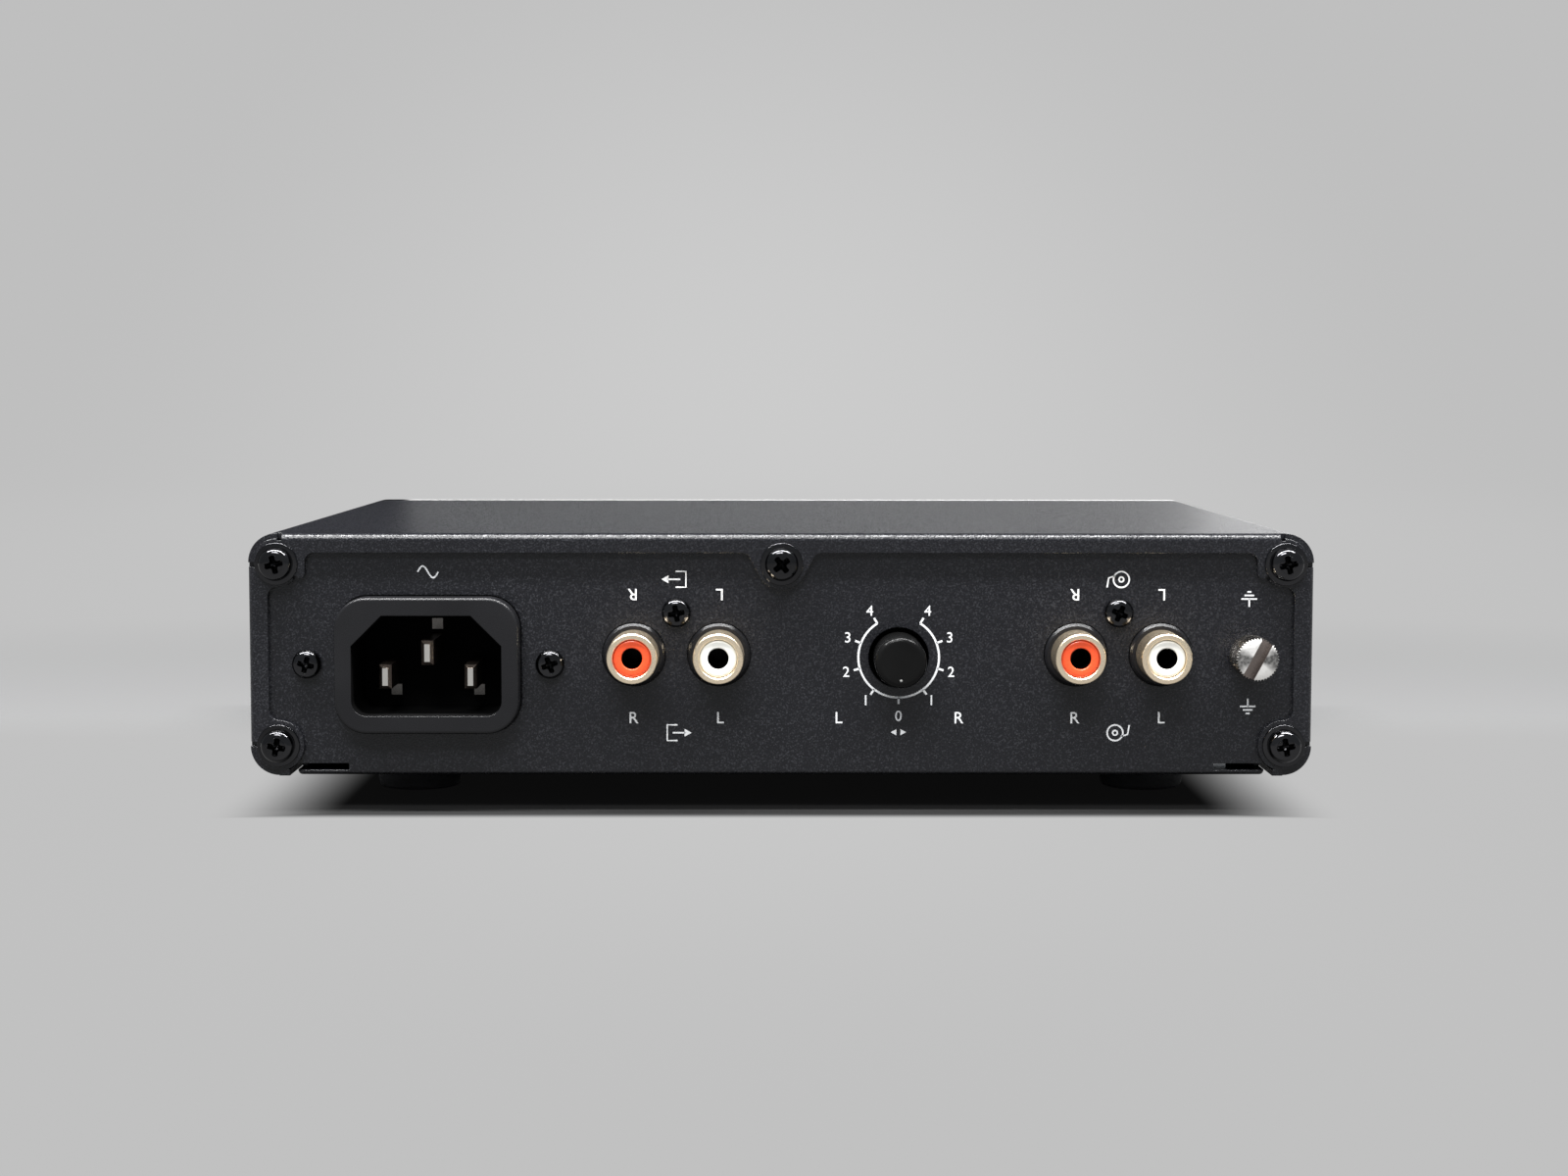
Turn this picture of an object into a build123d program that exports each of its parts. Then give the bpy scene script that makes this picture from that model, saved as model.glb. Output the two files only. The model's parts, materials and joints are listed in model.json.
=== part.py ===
"""A mains-powered phono preamp in a small folded-sheet case.

The origin lies on the resting plane under the middle of the whole part. +Z is up, the fascia faces -Y and
the connector panel faces +Y. Heights in the layout below count from the bottom of the case, which stands on
feet. Sideways places on the connector panel are given as seen from behind, where right is -X.
"""

import math
import os

from build123d import *

os.makedirs("parts", exist_ok=True)

# ---------------------------------------------------------------- case
case_width = 175.0
case_height = 40.0
case_depth = 128.0
case_offset = 2.9  # the case's middle lies this far in front of the whole part's middle
corner_radius = 4.8
sheet_gap = 0.2  # between sheets that nest
press_gap = 0.03  # radial, between parts that are pressed or moulded together
running_gap = 0.05  # radial, between parts that turn or slide
face_gap = 0.03  # between flat faces of bodies that part when they move

# ---------------------------------------------------------------- top cover
cover_sheet = 1.0
flange_width = 3.2
bend_radius = 1.2
window_radius = 1.6
relief_width = 0.8
relief_depth = 1.6
seam_setback = 0.6
seam_clearance = 0.1
lip_reach = 1.7
ear_radius = 4.2
upper_ear_radius = 3.8
ear_flare = 62.0  # degrees from level, sides of the middle ear
tab_width = 1.6
tab_offset = 3.8
tab_drop = 2.4
tab_notch_radius = 0.4

# ---------------------------------------------------------------- chassis tray
tray_sheet = 0.8
floor_inset = 7.6
floor_corner_radius = 0.8
relief_slot_height = 1.1
relief_slot_length = 8.5
tray_bend = 0.7
stiffener_height = 8.0
stiffener_setback = 5.0
front_wall_margin = 5.0
front_wall_corner = 3.0

# ---------------------------------------------------------------- fascia
fascia_thickness = 5.0
fascia_edge = 0.7
fascia_seat_depth = 1.2
fascia_screw_inset = 21.5
fascia_screw_low = 7.5
fascia_screw_high = 30.5

# ---------------------------------------------------------------- fasteners
m3_radius = 1.5
m3_clear_radius = 1.7
pan_head_radius = 2.75
pan_head_height = 2.0
small_head_radius = 2.4
small_head_height = 1.8
head_shoulder = 0.7  # share of the head's height that is rounded
cross_span = 3.0
cross_slot = 0.75
cross_depth = 1.1
washer_radius = 3.5
washer_thickness = 0.5
clinch_nut_radius = 2.9
clinch_nut_height = 1.6
hex_nut_across = 5.5
hex_nut_height = 2.4
cover_screw_length = 7.0
inlet_screw_length = 8.5
jack_screw_length = 8.0
board_screw_length = 5.0
fascia_screw_length = 5.0
foot_screw_length = 5.4
corner_screw_side = 4.7
corner_screw_rise = 5.0

# ---------------------------------------------------------------- feet
foot_height = 6.0
foot_radius = 8.0
foot_taper = 10.0  # degrees
foot_edge = 0.8
foot_side_inset = 24.0
foot_end_inset = 30.0
foot_pocket_radius = 3.4
foot_pocket_depth = 3.4

# ---------------------------------------------------------------- main board
standoff_height = 7.6
standoff_across = 5.5
board_thickness = 1.6
board_side_gap = 1.5
board_front_gap = 7.0
board_rear_gap = 1.2
board_notch_gap = 1.0
board_notch_behind = 4.0
board_corner = 1.5
board_hole_inset = 5.0

# ---------------------------------------------------------------- mains inlet
inlet_inset = 29.4
inlet_rise = 18.4
inlet_screw_pitch = 40.0
inlet_shroud_width = 30.2
inlet_shroud_height = 22.4
inlet_shroud_radius = 5.3
inlet_shroud_edge = 0.5
inlet_proud = 3.5
inlet_flange_width = 49.0
inlet_flange_height = 23.4
inlet_flange_radius = 6.0
inlet_flange_thickness = 3.0
cavity_width = 24.6
cavity_height = 16.5
cavity_chamfer = 5.0
cavity_radius = 2.5
cavity_depth = 16.0
inlet_wall = 1.4
inlet_floor = 2.5
blade_width = 2.0
blade_height = 4.0
blade_tip = 0.55
blade_recess = 2.0
earth_lead = 0.6
blade_pitch = 14.0
blade_drop = 2.0
earth_lift = 2.0
solder_tab_width = 4.8
solder_tab_thickness = 0.8
solder_tab_length = 8.0
tongue_size = 1.8
tongue_offset = 3.6
tongue_proud = 0.4

# ---------------------------------------------------------------- signal jacks
output_from_inlet = 40.8
phono_jack_inset = 32.0
jack_pitch = 14.0
jack_axis_height = 10.0
jack_screw_lift = 6.9
jack_block_width = 27.0
jack_block_depth = 11.5
jack_lobe_radius = 6.7
jack_boss_radius = 3.6
jack_collar_radius = 5.15
jack_collar_proud = 0.7
jack_collar_bevel = 0.4
jack_hole_gap = 0.1
shell_radius = 4.15
shell_wall = 1.05
shell_proud = 7.6
shell_rim = 0.4
shell_root = 8.0
shell_step = 0.2
insulator_recess = 0.3
insulator_root = 6.5
jack_bore_radius = 1.7
contact_radius = 2.2
contact_bore_radius = 1.5
contact_recess = 6.4
contact_root = 5.0

# ---------------------------------------------------------------- balance control
balance_side = 19.3
pot_axis_height = 9.5
pot_width = 12.0
pot_crown = 6.0
pot_depth = 7.0
pot_gap = 3.6
pot_bore_depth = 5.0
bushing_radius = 3.9
bushing_length = 2.4
spindle_radius = 3.0
spindle_flat = 2.2
spindle_end_gap = 0.2
knob_radius = 4.2
knob_proud = 8.8
knob_edge = 0.9
knob_hole_radius = 5.0
knob_back_gap = 0.4
knob_cap = 1.6
pointer_radius = 0.35
pointer_depth = 0.25
pointer_offset = 2.9

# ---------------------------------------------------------------- ground terminal
ground_inset = 10.5
terminal_radius = 2.0
terminal_clear_radius = 2.25
thumb_head_radius = 3.5
thumb_head_length = 8.0
thumb_head_edge = 0.8
thumb_head_dome = 0.3
thumb_ribs = 28
thumb_rib_depth = 0.28
thumb_slot_width = 1.6
thumb_slot_depth = 2.2
thumb_slot_tilt = 28.0  # degrees clockwise from upright, seen from behind
thumb_shank_length = 10.0
captive_washer_radius = 3.1
captive_washer_thickness = 0.9
terminal_nut_across = 7.0
terminal_nut_height = 3.2
lug_thickness = 0.8
lug_radius = 4.2
lug_tail_width = 3.0
lug_tail_length = 9.0
lug_eye_radius = 0.9

# ---------------------------------------------------------------- power button
button_inset = 25.5
button_radius = 6.0
button_gap = 0.25
button_proud = 2.0
button_crown = 0.8
button_collar = 1.2
button_collar_length = 1.2
button_skirt = 3.0
button_travel = 3.0
button_switch_gap = 1.5
plunger_width = 4.0
plunger_root = 6.0
plunger_engagement = 9.0
plunger_end_gap = 0.5
switch_axis_height = 10.0
switch_width = 14.0
switch_crown = 5.0
switch_length = 20.0

# ---------------------------------------------------------------- power indicator
lamp_inset = 37.5
pipe_radius = 1.5
pipe_proud = 0.3
pipe_bend = 4.0
pipe_reach = 17.0
lamp_size = 3.2
lamp_height = 1.2
lamp_gap = 0.1

# ---------------------------------------------------------------- wiring
wire_radius = 1.0
wire_entry = 3.0
sleeve_height = 6.4
sleeve_width = 2.8
sleeve_length = 9.0
sleeve_gap = 0.1
signal_wire_radius = 0.5
signal_wire_pad = (2.0, 12.3)  # inwards from the ground terminal, and in from the panel

# ---------------------------------------------------------------- supply parts on the board
terminal_block_width = 24.0
terminal_block_depth = 9.0
terminal_block_height = 10.0
terminal_block_inset = 7.5
terminal_block_pitch = 7.5
terminal_screw_radius = 1.9
terminal_screw_depth = 1.0
terminal_entry_height = 3.6
# Places of the parts by the panel are measured from the middle of the terminal block's rear face, and places
# of the parts by the fascia from the same line and the board's front edge.
fuse_place = (-16.1, -9.6)
fuse_radius = 2.6
fuse_length = 20.0
fuse_cap_length = 5.5
fuse_cap_wall = 0.25
fuse_axis_height = 4.6
clip_sheet = 0.5
clip_width = 4.4
clip_foot = 3.0
clip_grip = 1.4
mains_capacitor_place = (3.9, -15.1)
mains_capacitor_size = (18.0, 8.0, 15.0)
moulded_edge = 0.6
choke_place = (-27.0, -7.6)
choke_radius = 5.0
choke_core_radius = 1.5
choke_winding_radius = 2.3
choke_winding_arc = 132.0
rectifier_place = (-10.6, 32.4)
rectifier_size = (4.4, 15.0, 10.0)
rectifier_legs = 4
leg_size = 0.8
leg_height = 1.6
transformer_place = (3.9, 32.4)
core_width = 20.0
core_height = 15.0
core_depth = 7.0
core_limb = 4.0
core_lift = 2.5
bobbin_wall = 0.8
bobbin_depth = 14.6
bobbin_rail = 2.4
winding_inset = 0.5
winding_corner = 1.5
bulk_capacitor_place = (-20.1, 31.9)
bulk_capacitor_radius = 6.5
bulk_capacitor_height = 22.0
supply_capacitor_place = (-34.1, -30.1)
supply_capacitor_pitch = 9.5
supply_capacitor_count = 3
supply_capacitor_radius = 4.0
supply_capacitor_height = 12.0
can_edge = 0.6
can_groove_height = 2.2
can_groove_depth = 0.4
regulator_place = (-34.1, 11.9)
regulator_body = (10.0, 4.4, 9.0)
regulator_tab_thickness = 1.3
regulator_tab_height = 15.6
regulator_hole_radius = 1.8
heatsink_width = 21.0
heatsink_height = 20.0
heatsink_web = 2.0
heatsink_fin_reach = 6.0
heatsink_fin_sheet = 1.2
heatsink_fins = 5
insulator_sheet_thickness = 0.4
insulator_side_gap = 1.5
insulator_rear_gap = 9.5
insulator_front_gap = 23.5

# ---------------------------------------------------------------- audio parts on the board
# Sideways places are measured from the middle of a jack pair, and depths from the panel or the front edge.
phono_amplifier_offsets = (0.0, 17.0)
output_amplifier_offsets = (-27.3, -9.3)
amplifier_setback = 26.3
amplifier_size = (9.8, 6.4, 3.3)
amplifier_pitch = 2.54
amplifier_pins = 4
amplifier_pin_width = 0.5
amplifier_lift = 0.5
film_capacitor_columns = 5
film_capacitor_rows = 2
film_capacitor_pitch = (9.0, 11.0)
film_capacitor_place = (15.5, -48.3)
film_capacitor_size = (3.2, 7.2, 6.6)
coupling_capacitor_columns = 4
coupling_capacitor_rows = 2
coupling_capacitor_pitch = (12.0, 13.0)
coupling_capacitor_place = (15.5, 31.9)
coupling_capacitor_radius = 3.15
coupling_capacitor_height = 11.0

# ================================================================ derived places
front_y = -case_depth / 2 - case_offset
rear_y = case_depth / 2 - case_offset
fascia_back_y = front_y + fascia_thickness
seat_back_y = fascia_back_y + fascia_seat_depth
wall_back_y = seat_back_y + tray_sheet
panel_y = rear_y - cover_sheet
panel_back_y = panel_y - tray_sheet
cover_length = case_depth - fascia_thickness - sheet_gap
nest_inset = cover_sheet + sheet_gap
corner_centre = case_width / 2 - corner_radius

floor_width = case_width - 2 * floor_inset
floor_length = panel_y - seat_back_y
floor_middle = (panel_y + seat_back_y) / 2
stiffener_side = (floor_width - tray_sheet) / 2
fold_width = floor_width - 2 * relief_slot_length
slot_top = tray_sheet + relief_slot_height
wall_height = case_height - nest_inset - front_wall_margin

screw_side = case_width / 2 - corner_screw_side
upper_screw = case_height - corner_screw_rise
lower_screw = corner_screw_rise

board_bottom = tray_sheet + standoff_height
board_top = board_bottom + board_thickness
jack_rise = board_top + jack_axis_height
pot_rise = board_top + pot_axis_height
switch_rise = board_top + switch_axis_height
jack_screw_rise = jack_rise + jack_screw_lift

inlet_u = -(case_width / 2 - inlet_inset)
output_u = inlet_u + output_from_inlet
phono_u = case_width / 2 - phono_jack_inset
ground_u = case_width / 2 - ground_inset

inlet_front_y = panel_y + inlet_proud
cavity_floor_y = inlet_front_y - cavity_depth
inlet_back_y = cavity_floor_y - inlet_floor
line_blades = [(inlet_u + side * blade_pitch / 2, inlet_rise - blade_drop) for side in (-1, 1)]
earth_blade = (inlet_u, inlet_rise + earth_lift)

cover_screw_places = [
    (-screw_side, upper_screw),
    (0, upper_screw),
    (screw_side, upper_screw),
    (-screw_side, lower_screw),
    (screw_side, lower_screw),
]
inlet_screw_places = [(inlet_u + side * inlet_screw_pitch / 2, inlet_rise) for side in (-1, 1)]
jack_middles = {"output": output_u, "phono": phono_u}
red_jacks = [(middle - jack_pitch / 2, jack_rise) for middle in jack_middles.values()]
white_jacks = [(middle + jack_pitch / 2, jack_rise) for middle in jack_middles.values()]
jack_screw_places = [(middle, jack_screw_rise) for middle in jack_middles.values()]
fascia_screw_side = case_width / 2 - fascia_screw_inset
fascia_screw_places = [
    (side * fascia_screw_side, rise) for side in (-1, 1) for rise in (fascia_screw_low, fascia_screw_high)
]
foot_places = [
    (side * (case_width / 2 - foot_side_inset), end * (case_depth / 2 - foot_end_inset) - case_offset)
    for side in (-1, 1)
    for end in (-1, 1)
]

board_half = stiffener_side - tray_sheet / 2 - board_side_gap
board_front = wall_back_y + board_front_gap
board_rear = panel_back_y - board_rear_gap
notch_side = -inlet_u - inlet_flange_width / 2 - board_notch_gap
notch_front = inlet_back_y - solder_tab_length - board_notch_behind
board_holes = [
    (-board_half + board_hole_inset, board_front + board_hole_inset),
    (0, board_front + board_hole_inset),
    (board_half - board_hole_inset, board_front + board_hole_inset),
    (-board_half + board_hole_inset, board_rear - board_hole_inset),
    (notch_side - board_hole_inset, notch_front + board_hole_inset),
    (board_half - board_hole_inset, notch_front - board_hole_inset),
]

button_side = case_width / 2 - button_inset
lamp_side = case_width / 2 - lamp_inset
button_front_y = front_y - button_proud
button_collar_y = wall_back_y + face_gap
button_back_y = button_collar_y + button_collar_length + button_skirt
switch_front_y = button_back_y + button_travel + button_switch_gap
plunger_front_y = button_back_y - plunger_root
plunger_back_y = switch_front_y + plunger_engagement
pipe_front_y = front_y - pipe_proud
lamp_y = pipe_front_y + pipe_reach

tab_end_y = inlet_back_y - solder_tab_length
sleeve_rear_y = inlet_back_y - solder_tab_thickness - sheet_gap
sleeve_front_y = sleeve_rear_y - sleeve_length
terminal_rear_y = notch_front - terminal_block_inset
terminal_entry_rise = board_top + terminal_entry_height
terminal_x = -inlet_u


def rear_place(offset):
    """A place on the board, from the terminal block's rear face."""
    return (terminal_x + offset[0], terminal_rear_y + offset[1])


def front_place(offset):
    """A place on the board, from the terminal block's middle line and the board's front edge."""
    return (terminal_x + offset[0], board_front + offset[1])


fuse_x, fuse_y = rear_place(fuse_place)
choke_x, choke_y = rear_place(choke_place)
transformer_x, transformer_y = front_place(transformer_place)
regulator_x, regulator_y = front_place(regulator_place)
amplifier_places = [
    *[(offset - phono_u, panel_back_y - amplifier_setback) for offset in phono_amplifier_offsets],
    *[(offset - output_u, panel_back_y - amplifier_setback) for offset in output_amplifier_offsets],
]


# ================================================================ shared shapes
def behind(y):
    """Plane at depth y as seen from behind: across to the right, then up from the case's bottom."""
    return Plane(origin=(0, y, foot_height), x_dir=(-1, 0, 0), z_dir=(0, 1, 0))


def ahead(y):
    """Plane at depth y as seen from the front, with its normal pointing at the viewer."""
    return Plane(origin=(0, y, foot_height), x_dir=(1, 0, 0), z_dir=(0, -1, 0))


def level(z):
    """Level plane at height z above the case's bottom."""
    return Plane.XY.offset(foot_height + z)


def case_outline(inset=0.0):
    """The case's rounded section, shrunk by inset all round."""
    with BuildSketch() as outline:
        with Locations((0, case_height / 2)):
            RectangleRounded(case_width - 2 * inset, case_height - 2 * inset, corner_radius - inset)
    return outline.sketch


def panel_window():
    """The opening that the rear flange leaves between its screw ears, with rounded corners."""
    top = case_height - flange_width
    half = case_width / 2 - flange_width
    drop = case_height / 2  # runs on below the case, so that the foot of the opening stays open
    wedge_x = ear_radius * math.sin(math.radians(ear_flare))
    wedge_z = upper_screw - ear_radius * math.cos(math.radians(ear_flare))
    flare_x = wedge_x + (case_height - wedge_z) / math.tan(math.radians(ear_flare))
    with BuildSketch() as window:
        with Locations((0, (top - drop) / 2)):
            Rectangle(2 * half, top + drop)
        with Locations((-screw_side, lower_screw), (0, upper_screw), (screw_side, lower_screw)):
            Circle(ear_radius, mode=Mode.SUBTRACT)
        with Locations((-screw_side, upper_screw), (screw_side, upper_screw)):
            Circle(upper_ear_radius, mode=Mode.SUBTRACT)
        with BuildLine():
            Polyline(
                (wedge_x, wedge_z),
                (flare_x, case_height),
                (-flare_x, case_height),
                (-wedge_x, wedge_z),
                close=True,
            )
        make_face(mode=Mode.SUBTRACT)
        for side in (-1, 1):
            with Locations((side * (screw_side - tab_offset), upper_screw)):
                SlotOverall(2 * tab_drop, tab_width, rotation=90, mode=Mode.SUBTRACT)
            with Locations((side * (screw_side - tab_offset), case_height - corner_screw_rise / 2)):
                Rectangle(tab_width, corner_screw_rise, mode=Mode.SUBTRACT)
        offset(amount=-window_radius, kind=Kind.ARC, mode=Mode.REPLACE)
        offset(amount=window_radius, kind=Kind.ARC, mode=Mode.REPLACE)
    return window.sketch


def cavity_outline(grow=0.0):
    """The inlet's opening: two chamfered upper corners and two rounded lower ones."""
    with BuildSketch() as outline:
        Rectangle(cavity_width + 2 * grow, cavity_height + 2 * grow)
        chamfer(outline.vertices().group_by(Axis.Y)[-1], cavity_chamfer + grow / 2)
        fillet(outline.vertices().group_by(Axis.Y)[0], cavity_radius + grow)
    return outline.sketch


def pan_screw(head_radius, head_height, length):
    """A cross-recess pan-head screw: the head stands on Z = 0 and the shank hangs below it."""
    with BuildPart() as screw:
        with BuildSketch():
            Circle(head_radius)
        extrude(amount=head_height)
        fillet(screw.edges().group_by(Axis.Z)[-1], head_height * head_shoulder)
        with BuildSketch(Plane.XY.offset(head_height)):
            Rectangle(cross_span, cross_slot)
            Rectangle(cross_slot, cross_span)
        extrude(amount=-cross_depth, mode=Mode.SUBTRACT)
        with BuildSketch():
            Circle(m3_radius)
        extrude(amount=-length)
    return screw.part


def hex_nut(across, height, thread_radius):
    """A hexagon nut or standoff that hangs below Z = 0."""
    with BuildPart() as nut:
        with BuildSketch():
            RegularPolygon(across / 2, 6, major_radius=False)
            Circle(thread_radius, mode=Mode.SUBTRACT)
        extrude(amount=-height)
    return nut.part


def can_capacitor(radius, height):
    """An upright electrolytic can on Z = 0 with its rolled groove near the foot."""
    with BuildPart() as can:
        with BuildSketch(Plane.XZ):
            with Locations((radius / 2, height / 2)):
                Rectangle(radius, height)
            with Locations((radius, can_groove_height)):
                Circle(can_groove_depth, mode=Mode.SUBTRACT)
        revolve(axis=Axis.Z)
        fillet(can.edges().group_by(Axis.Z)[-1], can_edge)
    return can.part


def moulded_box(size):
    """A moulded block that stands on Z = 0, with its upper edges rounded."""
    with BuildPart() as block:
        with BuildSketch():
            RectangleRounded(size[0], size[1], moulded_edge)
        extrude(amount=size[2])
        fillet(block.edges().group_by(Axis.Z)[-1], moulded_edge / 2)
    return block.part


def wire(start, end, start_direction, end_direction, radius, straight):
    """A round wire that leaves and arrives in given directions, with its last length straight."""
    bend_end = Vector(end) - Vector(end_direction) * straight
    with BuildPart() as run:
        with BuildLine() as path:
            Spline(start, bend_end, tangents=(start_direction, end_direction))
            Line(bend_end, end)
        with BuildSketch(Plane(origin=start, z_dir=start_direction)):
            Circle(radius)
        sweep(path=path.wires()[0])
    return run.part


def ribbed_disc(radius, ribs, depth):
    """A knurled section: a disc with V grooves cut around its rim."""
    half_groove = math.pi * radius / ribs / 2
    with BuildSketch() as disc:
        Circle(radius)
        with PolarLocations(radius, ribs):
            with BuildLine():
                Polyline((-depth, 0), (depth, -2 * half_groove), (depth, 2 * half_groove), close=True)
            make_face(mode=Mode.SUBTRACT)
    return disc.sketch


# ================================================================ top cover
cover_corners = [
    (side, rise, end)
    for side in (-1, 1)
    for rise, end in ((corner_radius, -1), (case_height - corner_radius, 1))
]

with BuildPart() as top_cover:
    with BuildSketch(behind(rear_y)):
        add(case_outline())
        add(case_outline(cover_sheet), mode=Mode.SUBTRACT)
        Rectangle(2 * (corner_centre - lip_reach), case_height, mode=Mode.SUBTRACT)
    extrude(amount=-cover_length)
    with BuildSketch(behind(rear_y)):
        add(case_outline())
        add(panel_window(), mode=Mode.SUBTRACT)
    extrude(amount=-cover_sheet)

    # The sleeve's round corners end short of the flange.
    with BuildSketch(behind(rear_y)):
        with Locations(*[
            (side * (corner_centre + corner_radius / 2), rise + end * corner_radius / 2)
            for side, rise, end in cover_corners
        ]):
            Rectangle(corner_radius, corner_radius)
        with Locations(*[(side * corner_centre, rise) for side, rise, end in cover_corners]):
            Circle(corner_radius - cover_sheet + seam_clearance, mode=Mode.SUBTRACT)
    extrude(amount=-seam_setback, mode=Mode.SUBTRACT)

    # Relief cuts at the ends of the bends, and the notch where the upper flange's tab meets the ear
    with BuildSketch(behind(rear_y)):
        for side, rise, end in cover_corners:
            with Locations((side * case_width / 2, rise - end * relief_width / 2)):
                Rectangle(2 * bend_radius, relief_width)
        for side in (-1, 1):
            with Locations((side * (corner_centre - relief_width / 2), case_height)):
                Rectangle(relief_width, 2 * bend_radius)
            with Locations((side * (screw_side - tab_offset + tab_width / 2), upper_screw - tab_drop)):
                Circle(tab_notch_radius)
    extrude(amount=-relief_depth, mode=Mode.SUBTRACT)

    bends = top_cover.edges().filter_by_position(Axis.Y, rear_y - press_gap, rear_y + press_gap)
    top_bend = bends.filter_by(Axis.X).group_by(Axis.Z)[-1]
    side_bends = bends.filter_by(Axis.Z).group_by(Axis.X)
    fillet(top_bend + side_bends[0] + side_bends[-1], bend_radius)

    with BuildSketch(behind(rear_y)):
        with Locations(*cover_screw_places):
            Circle(m3_clear_radius)
    extrude(amount=-cover_sheet, mode=Mode.SUBTRACT)

top_cover.part.label = "top_cover"
export_step(top_cover.part, "parts/top_cover.step")

# ================================================================ chassis tray
with BuildPart() as chassis_tray:
    # Floor, connector panel and front wall; the panel is cut free of the floor at both ends of its bend.
    with BuildSketch(level(0)):
        with Locations((0, floor_middle)):
            RectangleRounded(floor_width, floor_length, floor_corner_radius)
    extrude(amount=tray_sheet)
    with BuildSketch(behind(panel_y)):
        add(case_outline(nest_inset))
        Rectangle(case_width, 2 * slot_top, mode=Mode.SUBTRACT)
        with Locations((0, slot_top)):
            Rectangle(fold_width, 2 * slot_top)
    extrude(amount=-tray_sheet)
    with BuildSketch(ahead(seat_back_y)) as front_wall:
        with Locations((0, wall_height / 2)):
            Rectangle(fold_width, wall_height)
        fillet(front_wall.vertices().group_by(Axis.Y)[-1], front_wall_corner)
    extrude(amount=-tray_sheet)

    # Stiffening flanges along the floor
    with BuildSketch(level(0)):
        with Locations((-stiffener_side, floor_middle), (stiffener_side, floor_middle)):
            Rectangle(tray_sheet, floor_length - 2 * stiffener_setback)
    extrude(amount=tray_sheet + stiffener_height)

    # Rounded outer bends under the panel and under the front wall
    lowest = chassis_tray.edges().filter_by(Axis.X).group_by(Axis.Z)[0]
    fillet(lowest.group_by(SortBy.LENGTH)[-1], tray_bend)

    # Cut-outs in the connector panel
    with BuildSketch(behind(panel_y)):
        with Locations((inlet_u, inlet_rise)):
            RectangleRounded(
                inlet_shroud_width + 2 * sheet_gap,
                inlet_shroud_height + 2 * sheet_gap,
                inlet_shroud_radius + sheet_gap,
            )
        with Locations(*red_jacks, *white_jacks):
            Circle(jack_collar_radius + jack_hole_gap)
        with Locations((balance_side, pot_rise)):
            Circle(knob_hole_radius)
        with Locations((ground_u, jack_rise)):
            Circle(terminal_clear_radius)
        with Locations(*cover_screw_places, *inlet_screw_places, *jack_screw_places):
            Circle(m3_clear_radius)
    extrude(amount=-tray_sheet, mode=Mode.SUBTRACT)

    # Holes in the front wall and in the floor
    with BuildSketch(ahead(seat_back_y)):
        with Locations((button_side, switch_rise)):
            Circle(button_radius + button_gap)
        with Locations((lamp_side, switch_rise)):
            Circle(pipe_radius + sheet_gap)
        with Locations(*fascia_screw_places):
            Circle(m3_clear_radius)
    extrude(amount=-tray_sheet, mode=Mode.SUBTRACT)
    with BuildSketch(level(0)):
        with Locations(*foot_places):
            Circle(m3_radius + press_gap)
    extrude(amount=tray_sheet, mode=Mode.SUBTRACT)

chassis_tray.part.label = "chassis_tray"
export_step(chassis_tray.part, "parts/chassis_tray.step")

# ================================================================ front fascia
with BuildPart() as front_fascia:
    with BuildSketch(ahead(front_y)):
        add(case_outline())
    extrude(amount=-fascia_thickness)
    fillet(front_fascia.edges().group_by(Axis.Y)[0], fascia_edge)
    with BuildSketch(ahead(fascia_back_y)):
        add(case_outline(nest_inset))
    extrude(amount=-fascia_seat_depth)
    with BuildSketch(ahead(front_y)):
        with Locations((button_side, switch_rise)):
            Circle(button_radius + button_gap)
        with Locations((lamp_side, switch_rise)):
            Circle(pipe_radius + press_gap)
    extrude(amount=-(fascia_thickness + fascia_seat_depth), mode=Mode.SUBTRACT)
    with BuildSketch(ahead(seat_back_y)):
        with Locations(*fascia_screw_places):
            Circle(m3_radius + press_gap)
    extrude(amount=fascia_screw_length - tray_sheet + sheet_gap, mode=Mode.SUBTRACT)

front_fascia.part.label = "front_fascia"
export_step(front_fascia.part, "parts/front_fascia.step")

# ================================================================ mains inlet
with BuildPart() as inlet_body:
    with BuildSketch(behind(inlet_front_y)):
        with Locations((inlet_u, inlet_rise)):
            RectangleRounded(inlet_shroud_width, inlet_shroud_height, inlet_shroud_radius)
    extrude(amount=-(inlet_front_y - panel_back_y))
    fillet(inlet_body.edges().group_by(Axis.Y)[-1], inlet_shroud_edge)
    with BuildSketch(behind(panel_back_y)):
        with Locations((inlet_u, inlet_rise)):
            RectangleRounded(inlet_flange_width, inlet_flange_height, inlet_flange_radius)
        with Locations(*inlet_screw_places):
            Circle(m3_clear_radius, mode=Mode.SUBTRACT)
    extrude(amount=-inlet_flange_thickness)
    with BuildSketch(behind(panel_back_y - inlet_flange_thickness)):
        with Locations((inlet_u, inlet_rise)):
            add(cavity_outline(inlet_wall))
    extrude(amount=-(panel_back_y - inlet_flange_thickness - inlet_back_y))
    with BuildSketch(behind(inlet_front_y)):
        with Locations((inlet_u, inlet_rise)):
            add(cavity_outline())
    extrude(amount=-cavity_depth, mode=Mode.SUBTRACT)

    # Slots for the blades and for the tongues beside their roots
    with BuildSketch(behind(cavity_floor_y)):
        with Locations(*line_blades, earth_blade):
            Rectangle(blade_width + 2 * press_gap, blade_height + 2 * press_gap)
        with Locations(*[(u, rise - tongue_offset) for u, rise in line_blades]):
            Rectangle(tongue_size + 2 * press_gap, tongue_size + 2 * press_gap)
        with Locations((earth_blade[0], earth_blade[1] + tongue_offset)):
            Rectangle(tongue_size + 2 * press_gap, tongue_size + 2 * press_gap)
    extrude(amount=-inlet_floor, mode=Mode.SUBTRACT)

inlet_body.part.label = "inlet_body"
export_step(inlet_body.part, "parts/inlet_body.step")


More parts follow.
